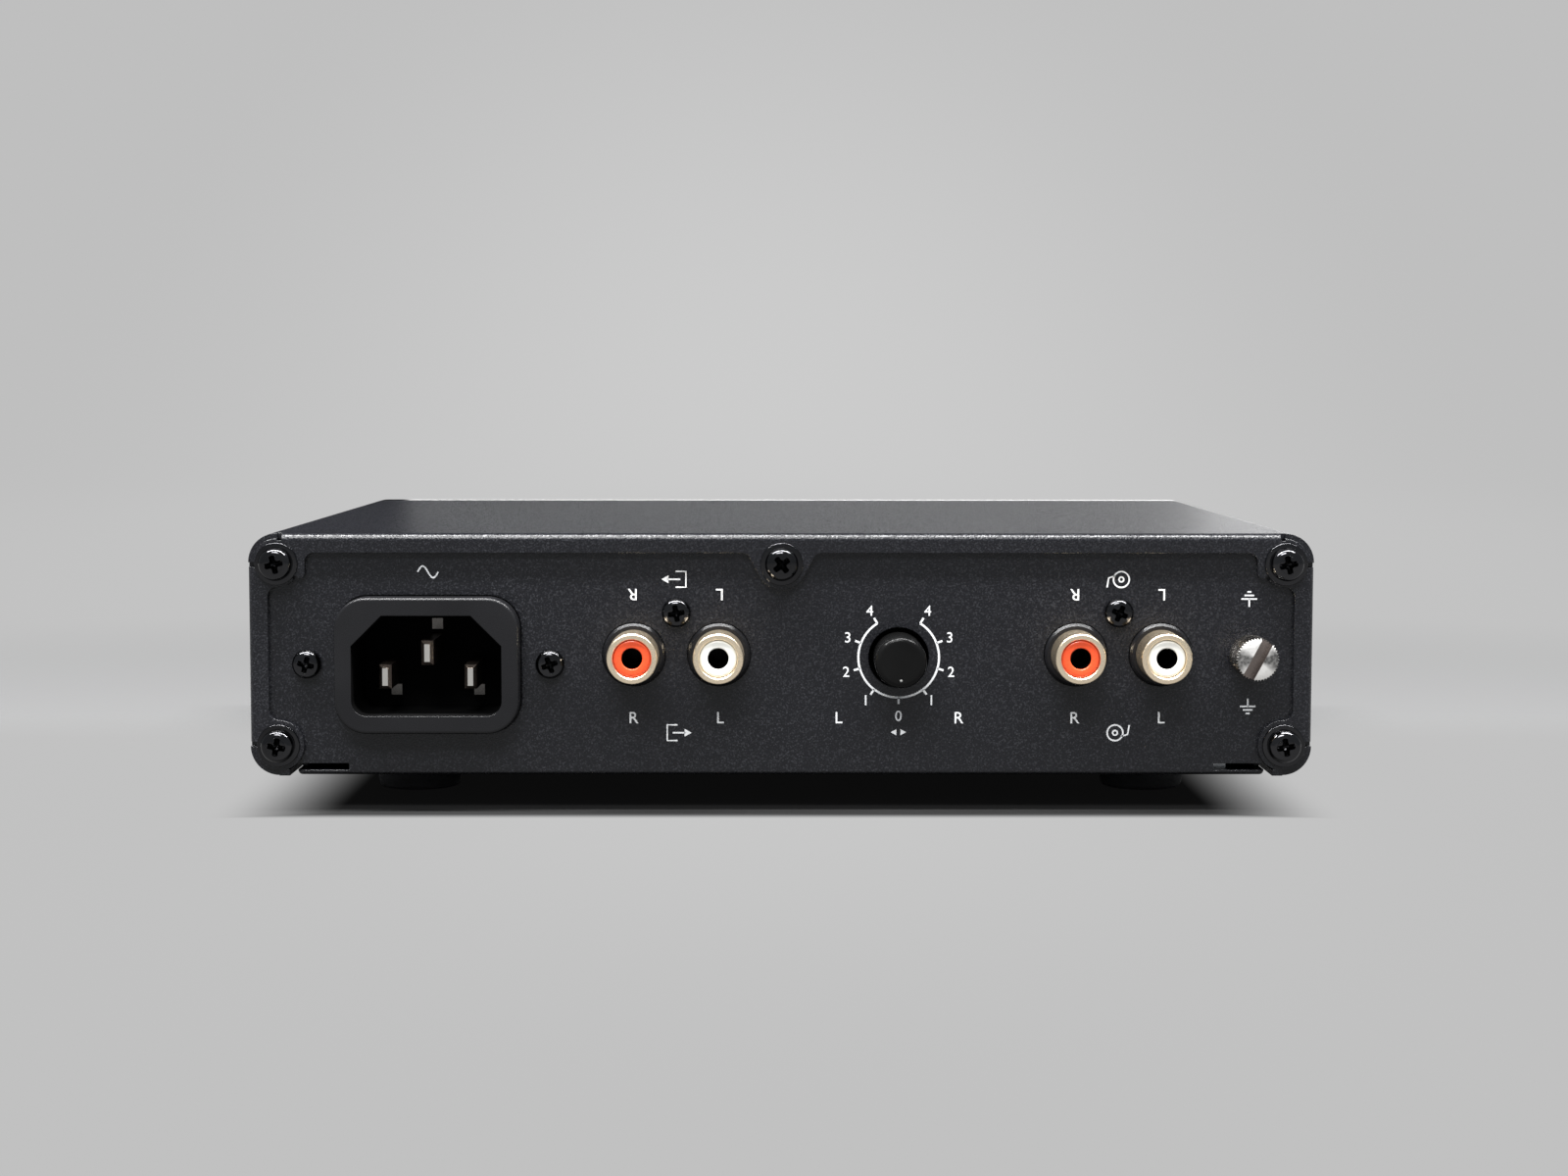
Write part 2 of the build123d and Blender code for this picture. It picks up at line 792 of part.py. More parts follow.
def inlet_blade(lead, tongue_side):
    """A chamfered contact blade along +Z: Z = 0 is the back of the inlet, its solder tab hangs below."""
    reach = inlet_front_y - blade_recess + lead - inlet_back_y
    with BuildPart() as blade:
        with BuildSketch():
            Rectangle(blade_width, blade_height)
        extrude(amount=reach)
        chamfer(blade.edges().group_by(Axis.Z)[-1], blade_tip)
        with BuildSketch():
            with Locations((0, tongue_side * tongue_offset)):
                Rectangle(tongue_size, tongue_size)
        extrude(amount=inlet_floor + tongue_proud)
        with BuildSketch():
            with Locations((0, tongue_side * tongue_offset / 2)):
                Rectangle(tongue_size, tongue_offset + tongue_size)
        extrude(amount=-solder_tab_thickness)
        with BuildSketch():
            Rectangle(solder_tab_thickness, solder_tab_width)
        extrude(amount=-solder_tab_length)
    return blade.part


line_blade_shape = inlet_blade(0.0, -1)
with BuildPart(behind(inlet_back_y)) as line_pins:
    with Locations(*line_blades):
        add(line_blade_shape)

line_pins.part.label = "inlet_line_pins"
export_step(line_pins.part, "parts/inlet_line_pins.step")

earth_blade_shape = inlet_blade(earth_lead, 1)
with BuildPart(behind(inlet_back_y)) as earth_pin:
    with Locations(earth_blade):
        add(earth_blade_shape)

earth_pin.part.label = "inlet_earth_pin"
export_step(earth_pin.part, "parts/inlet_earth_pin.step")

# ================================================================ signal jacks
for jack_name, middle in jack_middles.items():
    pair = [(middle - jack_pitch / 2, jack_rise), (middle + jack_pitch / 2, jack_rise)]
    with BuildPart() as jack_block:
        with BuildSketch(behind(panel_back_y)):
            with Locations((middle, board_top + jack_axis_height / 2)):
                Rectangle(jack_block_width, jack_axis_height)
            with Locations(*pair):
                Circle(jack_lobe_radius)
            with Locations((middle, jack_rise + jack_screw_lift / 2)):
                Rectangle(2 * jack_boss_radius, jack_screw_lift)
            with Locations((middle, jack_screw_rise)):
                Circle(jack_boss_radius)
        extrude(amount=-jack_block_depth)
        with BuildSketch(behind(panel_back_y)):
            with Locations(*pair):
                Circle(jack_collar_radius)
        extrude(amount=tray_sheet + jack_collar_proud)
        chamfer(jack_block.edges().group_by(Axis.Y)[-1], jack_collar_bevel)
        with BuildSketch(behind(panel_y + jack_collar_proud)):
            with Locations(*pair):
                Circle(shell_radius - shell_step + press_gap)
        extrude(amount=-(tray_sheet + jack_collar_proud + shell_root), mode=Mode.SUBTRACT)
        with BuildSketch(behind(panel_back_y)):
            with Locations((middle, jack_screw_rise)):
                Circle(m3_radius + press_gap)
        extrude(amount=-(jack_screw_length - tray_sheet), mode=Mode.SUBTRACT)

    jack_block.part.label = f"{jack_name}_jack_block"
    export_step(jack_block.part, f"parts/{jack_name}_jack_block.step")

    with BuildPart() as jack_shells:
        with BuildSketch(behind(panel_y + shell_proud)):
            with Locations(*pair):
                Circle(shell_radius)
                Circle(shell_radius - shell_wall, mode=Mode.SUBTRACT)
        extrude(amount=-(shell_proud - jack_collar_proud))
        with BuildSketch(behind(panel_y + jack_collar_proud)):
            with Locations(*pair):
                Circle(shell_radius - shell_step)
                Circle(shell_radius - shell_wall, mode=Mode.SUBTRACT)
        extrude(amount=-(jack_collar_proud + tray_sheet + shell_root))
        fillet(jack_shells.edges().group_by(Axis.Y)[-1], shell_rim)

    jack_shells.part.label = f"{jack_name}_jack_shells"
    export_step(jack_shells.part, f"parts/{jack_name}_jack_shells.step")

insulator_y = panel_y + shell_proud - insulator_recess
for colour, places in {"red": red_jacks, "white": white_jacks}.items():
    with BuildPart() as insulators:
        with BuildSketch(behind(insulator_y)):
            with Locations(*places):
                Circle(shell_radius - shell_wall - press_gap)
                Circle(jack_bore_radius, mode=Mode.SUBTRACT)
        extrude(amount=-(insulator_y - panel_back_y + insulator_root))
        with BuildSketch(behind(insulator_y - contact_recess)):
            with Locations(*places):
                Circle(contact_radius + press_gap)
        contact_length = insulator_y - contact_recess - panel_back_y + contact_root
        extrude(amount=-contact_length, mode=Mode.SUBTRACT)

    insulators.part.label = f"{colour}_jack_insulators"
    export_step(insulators.part, f"parts/{colour}_jack_insulators.step")

with BuildPart() as jack_contacts:
    with BuildSketch(behind(insulator_y - contact_recess)):
        with Locations(*red_jacks, *white_jacks):
            Circle(contact_radius)
            Circle(contact_bore_radius, mode=Mode.SUBTRACT)
    extrude(amount=-contact_length)

jack_contacts.part.label = "jack_contacts"
export_step(jack_contacts.part, "parts/jack_contacts.step")

# ================================================================ balance control
pot_front_y = panel_back_y - pot_gap
knob_back_y = panel_back_y - knob_back_gap
knob_front_y = panel_y + knob_proud
spindle_back_y = pot_front_y - pot_bore_depth + spindle_end_gap
spindle_front_y = knob_front_y - knob_cap - spindle_end_gap


def spindle_section(clearance):
    """The spindle's D section, grown by a clearance."""
    with BuildSketch() as section:
        Circle(spindle_radius + clearance)
        with Locations((0, spindle_flat + clearance + spindle_radius)):
            Rectangle(4 * spindle_radius, 2 * spindle_radius, mode=Mode.SUBTRACT)
    return section.sketch


with BuildPart() as balance_pot:
    with BuildSketch(behind(pot_front_y)):
        with Locations((balance_side, board_top + pot_axis_height / 2)):
            Rectangle(pot_width, pot_axis_height)
        with Locations((balance_side, pot_rise)):
            Circle(pot_crown)
    extrude(amount=-pot_depth)
    with BuildSketch(behind(pot_front_y)):
        with Locations((balance_side, pot_rise)):
            Circle(bushing_radius)
    extrude(amount=bushing_length)
    with BuildSketch(behind(pot_front_y + bushing_length)):
        with Locations((balance_side, pot_rise)):
            Circle(spindle_radius + running_gap)
    extrude(amount=-(bushing_length + pot_bore_depth), mode=Mode.SUBTRACT)

balance_pot.part.label = "balance_pot_body"
export_step(balance_pot.part, "parts/balance_pot_body.step")

with BuildPart() as balance_shaft:
    with BuildSketch(behind(spindle_back_y)):
        with Locations((balance_side, pot_rise)):
            Circle(spindle_radius)
    extrude(amount=knob_back_y - spindle_back_y)
    with BuildSketch(behind(knob_back_y)):
        with Locations((balance_side, pot_rise)):
            add(spindle_section(0.0))
    extrude(amount=spindle_front_y - knob_back_y)

balance_shaft.part.label = "balance_shaft"
export_step(balance_shaft.part, "parts/balance_shaft.step")

with BuildPart() as balance_knob:
    with BuildSketch(behind(knob_back_y)):
        with Locations((balance_side, pot_rise)):
            Circle(knob_radius)
    extrude(amount=knob_front_y - knob_back_y)
    fillet(balance_knob.edges().group_by(Axis.Y)[-1], knob_edge)
    with BuildSketch(behind(knob_back_y)):
        with Locations((balance_side, pot_rise)):
            add(spindle_section(press_gap))
    extrude(amount=knob_front_y - knob_cap - knob_back_y, mode=Mode.SUBTRACT)
    with BuildSketch(behind(knob_front_y)):
        with Locations((balance_side, pot_rise - pointer_offset)):
            Circle(pointer_radius)
    extrude(amount=-pointer_depth, mode=Mode.SUBTRACT)

balance_knob.part.label = "balance_knob"
export_step(balance_knob.part, "parts/balance_knob.step")

# ================================================================ ground terminal
washer_front_y = panel_y + face_gap + captive_washer_thickness
thumb_seat_y = washer_front_y + face_gap
terminal_nut_y = panel_back_y - lug_thickness
lug_eye_rise = jack_rise - lug_tail_length + lug_tail_width / 2

with BuildPart() as thumb_shape:
    add(ribbed_disc(thumb_head_radius, thumb_ribs, thumb_rib_depth))
    extrude(amount=thumb_head_length)
    with BuildSketch(Plane.XZ):
        with BuildLine():
            rim = thumb_head_length - thumb_head_edge
            waist = thumb_head_radius - thumb_head_edge
            Polyline(
                (0, thumb_head_length),
                (0, 0),
                (thumb_head_radius - thumb_rib_depth, 0),
                (thumb_head_radius, thumb_rib_depth),
                (thumb_head_radius, rim),
                (waist, thumb_head_length - thumb_head_dome),
                close=True,
            )
        make_face()
    revolve(axis=Axis.Z, mode=Mode.INTERSECT)
    with BuildSketch(Plane.XY.offset(thumb_head_length)):
        Rectangle(thumb_slot_width, 3 * thumb_head_radius, rotation=-thumb_slot_tilt)
    extrude(amount=-thumb_slot_depth, mode=Mode.SUBTRACT)
    with BuildSketch():
        Circle(terminal_radius)
    extrude(amount=-thumb_shank_length)
    chamfer(thumb_shape.edges().group_by(Axis.Z)[0], sheet_gap)

with BuildPart(behind(thumb_seat_y)) as ground_screw:
    with Locations((ground_u, jack_rise)):
        add(thumb_shape.part)

ground_screw.part.label = "ground_screw"
export_step(ground_screw.part, "parts/ground_screw.step")

with BuildPart() as ground_washer:
    with BuildSketch(behind(washer_front_y)):
        with Locations((ground_u, jack_rise)):
            Circle(captive_washer_radius)
            Circle(terminal_radius + running_gap, mode=Mode.SUBTRACT)
    extrude(amount=-captive_washer_thickness)

ground_washer.part.label = "ground_washer"
export_step(ground_washer.part, "parts/ground_washer.step")

terminal_nut = hex_nut(terminal_nut_across, terminal_nut_height, terminal_radius + running_gap)
with BuildPart(behind(terminal_nut_y)) as ground_nut:
    with Locations((ground_u, jack_rise)):
        add(terminal_nut)

ground_nut.part.label = "ground_nut"
export_step(ground_nut.part, "parts/ground_nut.step")

with BuildPart() as ground_lug:
    with BuildSketch(behind(panel_back_y)):
        with Locations((ground_u, jack_rise)):
            Circle(lug_radius)
        with Locations((ground_u, jack_rise - lug_tail_length / 2)):
            Rectangle(lug_tail_width, lug_tail_length)
        with Locations((ground_u, jack_rise)):
            Circle(terminal_clear_radius, mode=Mode.SUBTRACT)
        with Locations((ground_u, lug_eye_rise)):
            Circle(lug_eye_radius, mode=Mode.SUBTRACT)
    extrude(amount=-lug_thickness)

ground_lug.part.label = "ground_lug"
export_step(ground_lug.part, "parts/ground_lug.step")

# ================================================================ fasteners
cover_screw = pan_screw(pan_head_radius, pan_head_height, cover_screw_length)
with BuildPart(behind(rear_y + washer_thickness)) as cover_screws:
    with Locations(*cover_screw_places):
        add(cover_screw)

cover_screws.part.label = "cover_screws"
export_step(cover_screws.part, "parts/cover_screws.step")

with BuildPart() as cover_washers:
    with BuildSketch(behind(rear_y)):
        with Locations(*cover_screw_places):
            Circle(washer_radius)
            Circle(m3_clear_radius, mode=Mode.SUBTRACT)
    extrude(amount=washer_thickness)

cover_washers.part.label = "cover_washers"
export_step(cover_washers.part, "parts/cover_washers.step")

with BuildPart() as cover_nuts:
    with BuildSketch(behind(panel_back_y)):
        with Locations(*cover_screw_places):
            Circle(clinch_nut_radius)
            Circle(m3_radius + press_gap, mode=Mode.SUBTRACT)
    extrude(amount=-clinch_nut_height)

cover_nuts.part.label = "cover_nuts"
export_step(cover_nuts.part, "parts/cover_nuts.step")

inlet_screw = pan_screw(small_head_radius, small_head_height, inlet_screw_length)
with BuildPart(behind(panel_y)) as inlet_screws:
    with Locations(*inlet_screw_places):
        add(inlet_screw)

inlet_screws.part.label = "inlet_screws"
export_step(inlet_screws.part, "parts/inlet_screws.step")

m3_nut = hex_nut(hex_nut_across, hex_nut_height, m3_radius + press_gap)
with BuildPart(behind(panel_back_y - inlet_flange_thickness)) as inlet_nuts:
    with Locations(*inlet_screw_places):
        add(m3_nut)

inlet_nuts.part.label = "inlet_nuts"
export_step(inlet_nuts.part, "parts/inlet_nuts.step")

jack_screw = pan_screw(small_head_radius, small_head_height, jack_screw_length)
with BuildPart(behind(panel_y)) as jack_screws:
    with Locations(*jack_screw_places):
        add(jack_screw)

jack_screws.part.label = "jack_screws"
export_step(jack_screws.part, "parts/jack_screws.step")

fascia_screw = pan_screw(pan_head_radius, pan_head_height, fascia_screw_length)
with BuildPart(behind(wall_back_y)) as fascia_screws:
    with Locations(*fascia_screw_places):
        add(fascia_screw)

fascia_screws.part.label = "fascia_screws"
export_step(fascia_screws.part, "parts/fascia_screws.step")

# ================================================================ feet
with BuildPart() as rubber_feet:
    with BuildSketch(level(0)):
        with Locations(*foot_places):
            Circle(foot_radius)
    extrude(amount=-foot_height, taper=foot_taper)
    fillet(rubber_feet.edges().group_by(Axis.Z)[0], foot_edge)
    with BuildSketch(Plane.XY):
        with Locations(*foot_places):
            Circle(foot_pocket_radius)
    extrude(amount=foot_pocket_depth, mode=Mode.SUBTRACT)
    with BuildSketch(Plane.XY):
        with Locations(*foot_places):
            Circle(m3_radius + press_gap)
    extrude(amount=foot_height, mode=Mode.SUBTRACT)

rubber_feet.part.label = "rubber_feet"
export_step(rubber_feet.part, "parts/rubber_feet.step")

foot_screw = pan_screw(pan_head_radius, pan_head_height, foot_screw_length)
foot_screw_plane = Plane(origin=(0, 0, foot_pocket_depth), x_dir=(-1, 0, 0), z_dir=(0, 0, -1))
with BuildPart(foot_screw_plane) as foot_screws:
    with Locations(*foot_places):
        add(foot_screw)

foot_screws.part.label = "foot_screws"
export_step(foot_screws.part, "parts/foot_screws.step")

# ================================================================ main board
with BuildPart() as main_board:
    with BuildSketch(level(board_bottom)) as board_outline:
        with Locations((0, (board_front + board_rear) / 2)):
            Rectangle(2 * board_half, board_rear - board_front)
        with Locations(((notch_side + board_half) / 2, (notch_front + board_rear) / 2)):
            Rectangle(board_half - notch_side, board_rear - notch_front, mode=Mode.SUBTRACT)
        fillet(board_outline.vertices(), board_corner)
        with Locations(*board_holes):
            Circle(m3_clear_radius, mode=Mode.SUBTRACT)
    extrude(amount=board_thickness)

main_board.part.label = "main_board"
export_step(main_board.part, "parts/main_board.step")

standoff = hex_nut(standoff_across, standoff_height, m3_radius + press_gap)
with BuildPart(level(board_bottom)) as board_standoffs:
    with Locations(*board_holes):
        add(standoff)

board_standoffs.part.label = "board_standoffs"
export_step(board_standoffs.part, "parts/board_standoffs.step")

board_screw = pan_screw(pan_head_radius, pan_head_height, board_screw_length)
with BuildPart(level(board_top)) as board_screws:
    with Locations(*board_holes):
        add(board_screw)

board_screws.part.label = "board_screws"
export_step(board_screws.part, "parts/board_screws.step")

# ================================================================ power button
with BuildPart() as power_button:
    with BuildSketch(ahead(button_front_y)):
        with Locations((button_side, switch_rise)):
            Circle(button_radius)
    extrude(amount=-(button_back_y - button_front_y))
    fillet(power_button.edges().group_by(Axis.Y)[0], button_crown)
    with BuildSketch(ahead(button_collar_y)):
        with Locations((button_side, switch_rise)):
            Circle(button_radius + button_collar)
    extrude(amount=-button_collar_length)
    with BuildSketch(ahead(button_back_y)):
        with Locations((button_side, switch_rise)):
            Rectangle(plunger_width + 2 * press_gap, plunger_width + 2 * press_gap)
    extrude(amount=plunger_root, mode=Mode.SUBTRACT)

power_button.part.label = "power_button"
export_step(power_button.part, "parts/power_button.step")

with BuildPart() as switch_plunger:
    with BuildSketch(ahead(plunger_front_y)):
        with Locations((button_side, switch_rise)):
            Rectangle(plunger_width, plunger_width)
    extrude(amount=-(plunger_back_y - plunger_front_y))

switch_plunger.part.label = "switch_plunger"
export_step(switch_plunger.part, "parts/switch_plunger.step")

with BuildPart() as power_switch:
    with BuildSketch(ahead(switch_front_y)):
        with Locations((button_side, (board_top + switch_rise + switch_crown) / 2)):
            Rectangle(switch_width, switch_axis_height + switch_crown)
    extrude(amount=-switch_length)
    fillet(power_switch.edges().group_by(Axis.Z)[-1].filter_by(Axis.Y), moulded_edge)
    with BuildSketch(ahead(switch_front_y)):
        with Locations((button_side, switch_rise)):
            Rectangle(plunger_width + 2 * running_gap, plunger_width + 2 * running_gap)
    extrude(amount=-(plunger_engagement + button_travel + plunger_end_gap), mode=Mode.SUBTRACT)

power_switch.part.label = "power_switch_body"
export_step(power_switch.part, "parts/power_switch_body.step")

# ================================================================ power indicator
lamp_top = foot_height + board_top + lamp_height
with BuildPart() as light_pipe:
    with BuildLine() as pipe_path:
        FilletPolyline(
            (lamp_side, pipe_front_y, foot_height + switch_rise),
            (lamp_side, lamp_y, foot_height + switch_rise),
            (lamp_side, lamp_y, lamp_top + lamp_gap),
            radius=pipe_bend,
        )
    with BuildSketch(ahead(pipe_front_y)):
        with Locations((lamp_side, switch_rise)):
            Circle(pipe_radius)
    sweep(path=pipe_path.wires()[0])

light_pipe.part.label = "power_light_pipe"
export_step(light_pipe.part, "parts/power_light_pipe.step")

with BuildPart() as power_lamp:
    with BuildSketch(level(board_top)):
        with Locations((lamp_side, lamp_y)):
            Rectangle(lamp_size, lamp_size)
    extrude(amount=lamp_height)

power_lamp.part.label = "power_lamp"
export_step(power_lamp.part, "parts/power_lamp.step")

# ================================================================ mains wiring
terminal_entries = [(terminal_x + pole * terminal_block_pitch, terminal_entry_rise) for pole in (-1, 0, 1)]
with BuildPart() as terminal_block:
    with BuildSketch(level(board_top)):
        with Locations((terminal_x, terminal_rear_y - terminal_block_depth / 2)):
            Rectangle(terminal_block_width, terminal_block_depth)
    extrude(amount=terminal_block_height)
    chamfer(terminal_block.edges().group_by(Axis.Z)[-1].filter_by(Axis.X), moulded_edge)
    with BuildSketch(level(board_top + terminal_block_height)):
        with Locations(*[(x, terminal_rear_y - terminal_block_depth / 2) for x, rise in terminal_entries]):
            Circle(terminal_screw_radius)
    extrude(amount=-terminal_screw_depth, mode=Mode.SUBTRACT)
    with BuildSketch(behind(terminal_rear_y)):
        with Locations(*[(-x, rise) for x, rise in terminal_entries]):
            Circle(wire_radius + running_gap)
    extrude(amount=-wire_entry, mode=Mode.SUBTRACT)

terminal_block.part.label = "mains_terminal_block"
export_step(terminal_block.part, "parts/mains_terminal_block.step")

with BuildPart() as tab_sleeve:
    with BuildSketch():
        RectangleRounded(sleeve_width, sleeve_height, moulded_edge)
    extrude(amount=-sleeve_length)
    with BuildSketch():
        Rectangle(solder_tab_thickness + 2 * sleeve_gap, solder_tab_width + 2 * sleeve_gap)
    extrude(amount=tab_end_y - sleeve_gap - sleeve_rear_y, mode=Mode.SUBTRACT)


def mains_wire(blade, entry):
    """A wire from a sleeve on a blade's tab to its terminal."""
    start = (-blade[0], sleeve_front_y, foot_height + blade[1])
    end = (entry[0], terminal_rear_y - wire_entry, foot_height + entry[1])
    return wire(start, end, (0, -1, 0), (0, -1, 0), wire_radius, wire_entry)


line_wire_runs = [
    mains_wire(line_blades[0], terminal_entries[2]),
    mains_wire(line_blades[1], terminal_entries[0]),
]
with BuildPart(behind(sleeve_rear_y)) as line_wires:
    with Locations(*line_blades):
        add(tab_sleeve.part)
with BuildPart() as mains_wires:
    add(line_wires.part)
    add(line_wire_runs)

mains_wires.part.label = "mains_wires"
export_step(mains_wires.part, "parts/mains_wires.step")

with BuildPart(behind(sleeve_rear_y)) as earth_sleeve:
    with Locations(earth_blade):
        add(tab_sleeve.part)
with BuildPart() as earth_wire:
    add(earth_sleeve.part)
    add(mains_wire(earth_blade, terminal_entries[1]))

earth_wire.part.label = "earth_wire"
export_step(earth_wire.part, "parts/earth_wire.step")

lug_eye = (-ground_u, panel_back_y - lug_thickness, foot_height + lug_eye_rise)
wire_pad = (signal_wire_pad[0] - ground_u, panel_back_y - signal_wire_pad[1], foot_height + board_top)
with BuildPart() as ground_wire:
    add(wire(lug_eye, wire_pad, (0, -1, 0), (0, 0, -1), signal_wire_radius, signal_wire_radius))

ground_wire.part.label = "ground_wire"
export_step(ground_wire.part, "parts/ground_wire.step")

# ================================================================ mains fuse
fuse_rise = board_top + fuse_axis_height
fuse_rear_y = fuse_y + fuse_length / 2
glass_radius = fuse_radius - fuse_cap_wall - press_gap
cap_middle = (fuse_length - fuse_cap_length) / 2

with BuildPart() as fuse_tube:
    with BuildSketch(behind(fuse_rear_y - fuse_cap_wall - press_gap)):
        with Locations((-fuse_x, fuse_rise)):
            Circle(glass_radius)
    extrude(amount=-(fuse_length - 2 * fuse_cap_wall - 2 * press_gap))

fuse_tube.part.label = "fuse_tube"
export_step(fuse_tube.part, "parts/fuse_tube.step")

with BuildPart() as fuse_caps:
    with BuildSketch(behind(fuse_rear_y)):
        with Locations((-fuse_x, fuse_rise)):
            Circle(fuse_radius)
    extrude(amount=-fuse_length)
    with BuildSketch(behind(fuse_rear_y - fuse_cap_length)):
        with Locations((-fuse_x, fuse_rise)):
            Circle(fuse_radius + sheet_gap)
    extrude(amount=-(fuse_length - 2 * fuse_cap_length), mode=Mode.SUBTRACT)
    with BuildSketch(behind(fuse_rear_y - fuse_cap_wall)):
        with Locations((-fuse_x, fuse_rise)):
            Circle(fuse_radius - fuse_cap_wall)
    extrude(amount=-(fuse_length - 2 * fuse_cap_wall), mode=Mode.SUBTRACT)

fuse_caps.part.label = "fuse_caps"
export_step(fuse_caps.part, "parts/fuse_caps.step")

clip_reach = fuse_radius + press_gap + clip_sheet
with BuildPart() as fuse_clips:
    for end in (-1, 1):
        with BuildSketch(behind(fuse_y + end * cap_middle + clip_width / 2)):
            with Locations((-fuse_x, fuse_rise)):
                Circle(clip_reach)
            with Locations((-fuse_x, board_top + fuse_axis_height / 2)):
                Rectangle(clip_foot, fuse_axis_height)
            with Locations((-fuse_x, fuse_rise + clip_grip + clip_reach)):
                Rectangle(2 * clip_reach, 2 * clip_reach, mode=Mode.SUBTRACT)
            with Locations((-fuse_x, fuse_rise)):
                Circle(fuse_radius + press_gap, mode=Mode.SUBTRACT)
        extrude(amount=-clip_width)

fuse_clips.part.label = "fuse_clips"
export_step(fuse_clips.part, "parts/fuse_clips.step")

# ================================================================ supply parts
mains_capacitor_shape = moulded_box(mains_capacitor_size)
with BuildPart(level(board_top)) as mains_capacitor:
    with Locations(rear_place(mains_capacitor_place)):
        add(mains_capacitor_shape)

mains_capacitor.part.label = "mains_capacitor"
export_step(mains_capacitor.part, "parts/mains_capacitor.step")

choke_plane = level(board_top + choke_winding_radius)
choke_axis = Axis((choke_x, choke_y, 0), (0, 0, 1))
choke_section = Plane(
    origin=(choke_x + choke_radius, choke_y, choke_plane.origin.Z),
    x_dir=(1, 0, 0),
    z_dir=(0, -1, 0),
)
with BuildPart() as choke_core:
    with BuildSketch(choke_section):
        Circle(choke_core_radius)
    revolve(axis=choke_axis)

choke_core.part.label = "choke_core"
export_step(choke_core.part, "parts/choke_core.step")

with BuildPart() as choke_winding:
    with BuildSketch(choke_section):
        Circle(choke_winding_radius)
        Circle(choke_core_radius + press_gap, mode=Mode.SUBTRACT)
    revolve(axis=choke_axis, revolution_arc=choke_winding_arc)
    add(choke_winding.part.rotate(choke_axis, 180))

choke_winding.part.label = "choke_windings"
export_step(choke_winding.part, "parts/choke_windings.step")

rectifier_block = moulded_box(rectifier_size)
leg_pitch = rectifier_size[1] / rectifier_legs
with BuildPart(level(board_top)) as rectifier:
    with BuildSketch(level(board_top)):
        with Locations(front_place(rectifier_place)):
            with GridLocations(0, leg_pitch, 1, rectifier_legs):
                Rectangle(leg_size, leg_size)
    extrude(amount=leg_height + moulded_edge)
    with Locations((*front_place(rectifier_place), leg_height)):
        add(rectifier_block)

rectifier.part.label = "bridge_rectifier"
export_step(rectifier.part, "parts/bridge_rectifier.step")

core_bottom = board_top + core_lift
window_width = (core_width - 3 * core_limb) / 2
window_height = core_height - 2 * core_limb
bobbin_width = core_limb + 2 * (window_width - sheet_gap)
window_bottom = core_bottom + core_limb
with BuildPart() as transformer_core:
    with BuildSketch(ahead(transformer_y - core_depth / 2)):
        with Locations((transformer_x, core_bottom + core_height / 2)):
            Rectangle(core_width, core_height)
            with GridLocations(core_limb + window_width, 0, 2, 1):
                Rectangle(window_width, window_height, mode=Mode.SUBTRACT)
    extrude(amount=-core_depth)

transformer_core.part.label = "transformer_core"
export_step(transformer_core.part, "parts/transformer_core.step")

limb_width = core_limb + 2 * running_gap
limb_depth = core_depth + 2 * running_gap
with BuildPart() as bobbin:
    with BuildSketch(level(window_bottom + running_gap)):
        with Locations((transformer_x, transformer_y)):
            Rectangle(bobbin_width, bobbin_depth)
    extrude(amount=bobbin_wall)
    with BuildSketch(level(window_bottom + window_height - running_gap)):
        with Locations((transformer_x, transformer_y)):
            Rectangle(bobbin_width, bobbin_depth)
    extrude(amount=-bobbin_wall)
    with BuildSketch(level(window_bottom + running_gap)):
        with Locations((transformer_x, transformer_y)):
            Rectangle(limb_width + 2 * bobbin_wall, limb_depth + 2 * bobbin_wall)
    extrude(amount=window_height - 2 * running_gap)
    with BuildSketch(level(window_bottom + running_gap)):
        with Locations((transformer_x, transformer_y)):
            Rectangle(limb_width, limb_depth)
    extrude(amount=window_height - 2 * running_gap, mode=Mode.SUBTRACT)
    with BuildSketch(level(board_top)):
        with Locations((transformer_x, transformer_y)):
            with GridLocations(0, bobbin_depth - bobbin_rail, 1, 2):
                Rectangle(core_width, bobbin_rail)
    extrude(amount=core_lift + core_limb + running_gap + bobbin_wall)

bobbin.part.label = "transformer_bobbin"
export_step(bobbin.part, "parts/transformer_bobbin.step")

winding_height = window_height - 2 * (running_gap + bobbin_wall + press_gap)
with BuildPart() as winding:
    with BuildSketch(level(window_bottom + running_gap + bobbin_wall + press_gap)):
        with Locations((transformer_x, transformer_y)):
            RectangleRounded(
                bobbin_width - winding_inset,
                bobbin_depth - 2 * winding_inset,
                winding_corner,
            )
            Rectangle(
                limb_width + 2 * (bobbin_wall + press_gap),
                limb_depth + 2 * (bobbin_wall + press_gap),
                mode=Mode.SUBTRACT,
            )
    extrude(amount=winding_height)

winding.part.label = "transformer_winding"
export_step(winding.part, "parts/transformer_winding.step")

bulk_can = can_capacitor(bulk_capacitor_radius, bulk_capacitor_height)
supply_can = can_capacitor(supply_capacitor_radius, supply_capacitor_height)
with BuildPart(level(board_top)) as bulk_capacitor:
    with Locations(front_place(bulk_capacitor_place)):
        add(bulk_can)

bulk_capacitor.part.label = "bulk_capacitor"
export_step(bulk_capacitor.part, "parts/bulk_capacitor.step")

with BuildPart(level(board_top)) as supply_capacitors:
    with Locations(rear_place(supply_capacitor_place)):
        with GridLocations(0, supply_capacitor_pitch, 1, supply_capacitor_count):
            add(supply_can)

supply_capacitors.part.label = "supply_capacitors"
export_step(supply_capacitors.part, "parts/supply_capacitors.step")

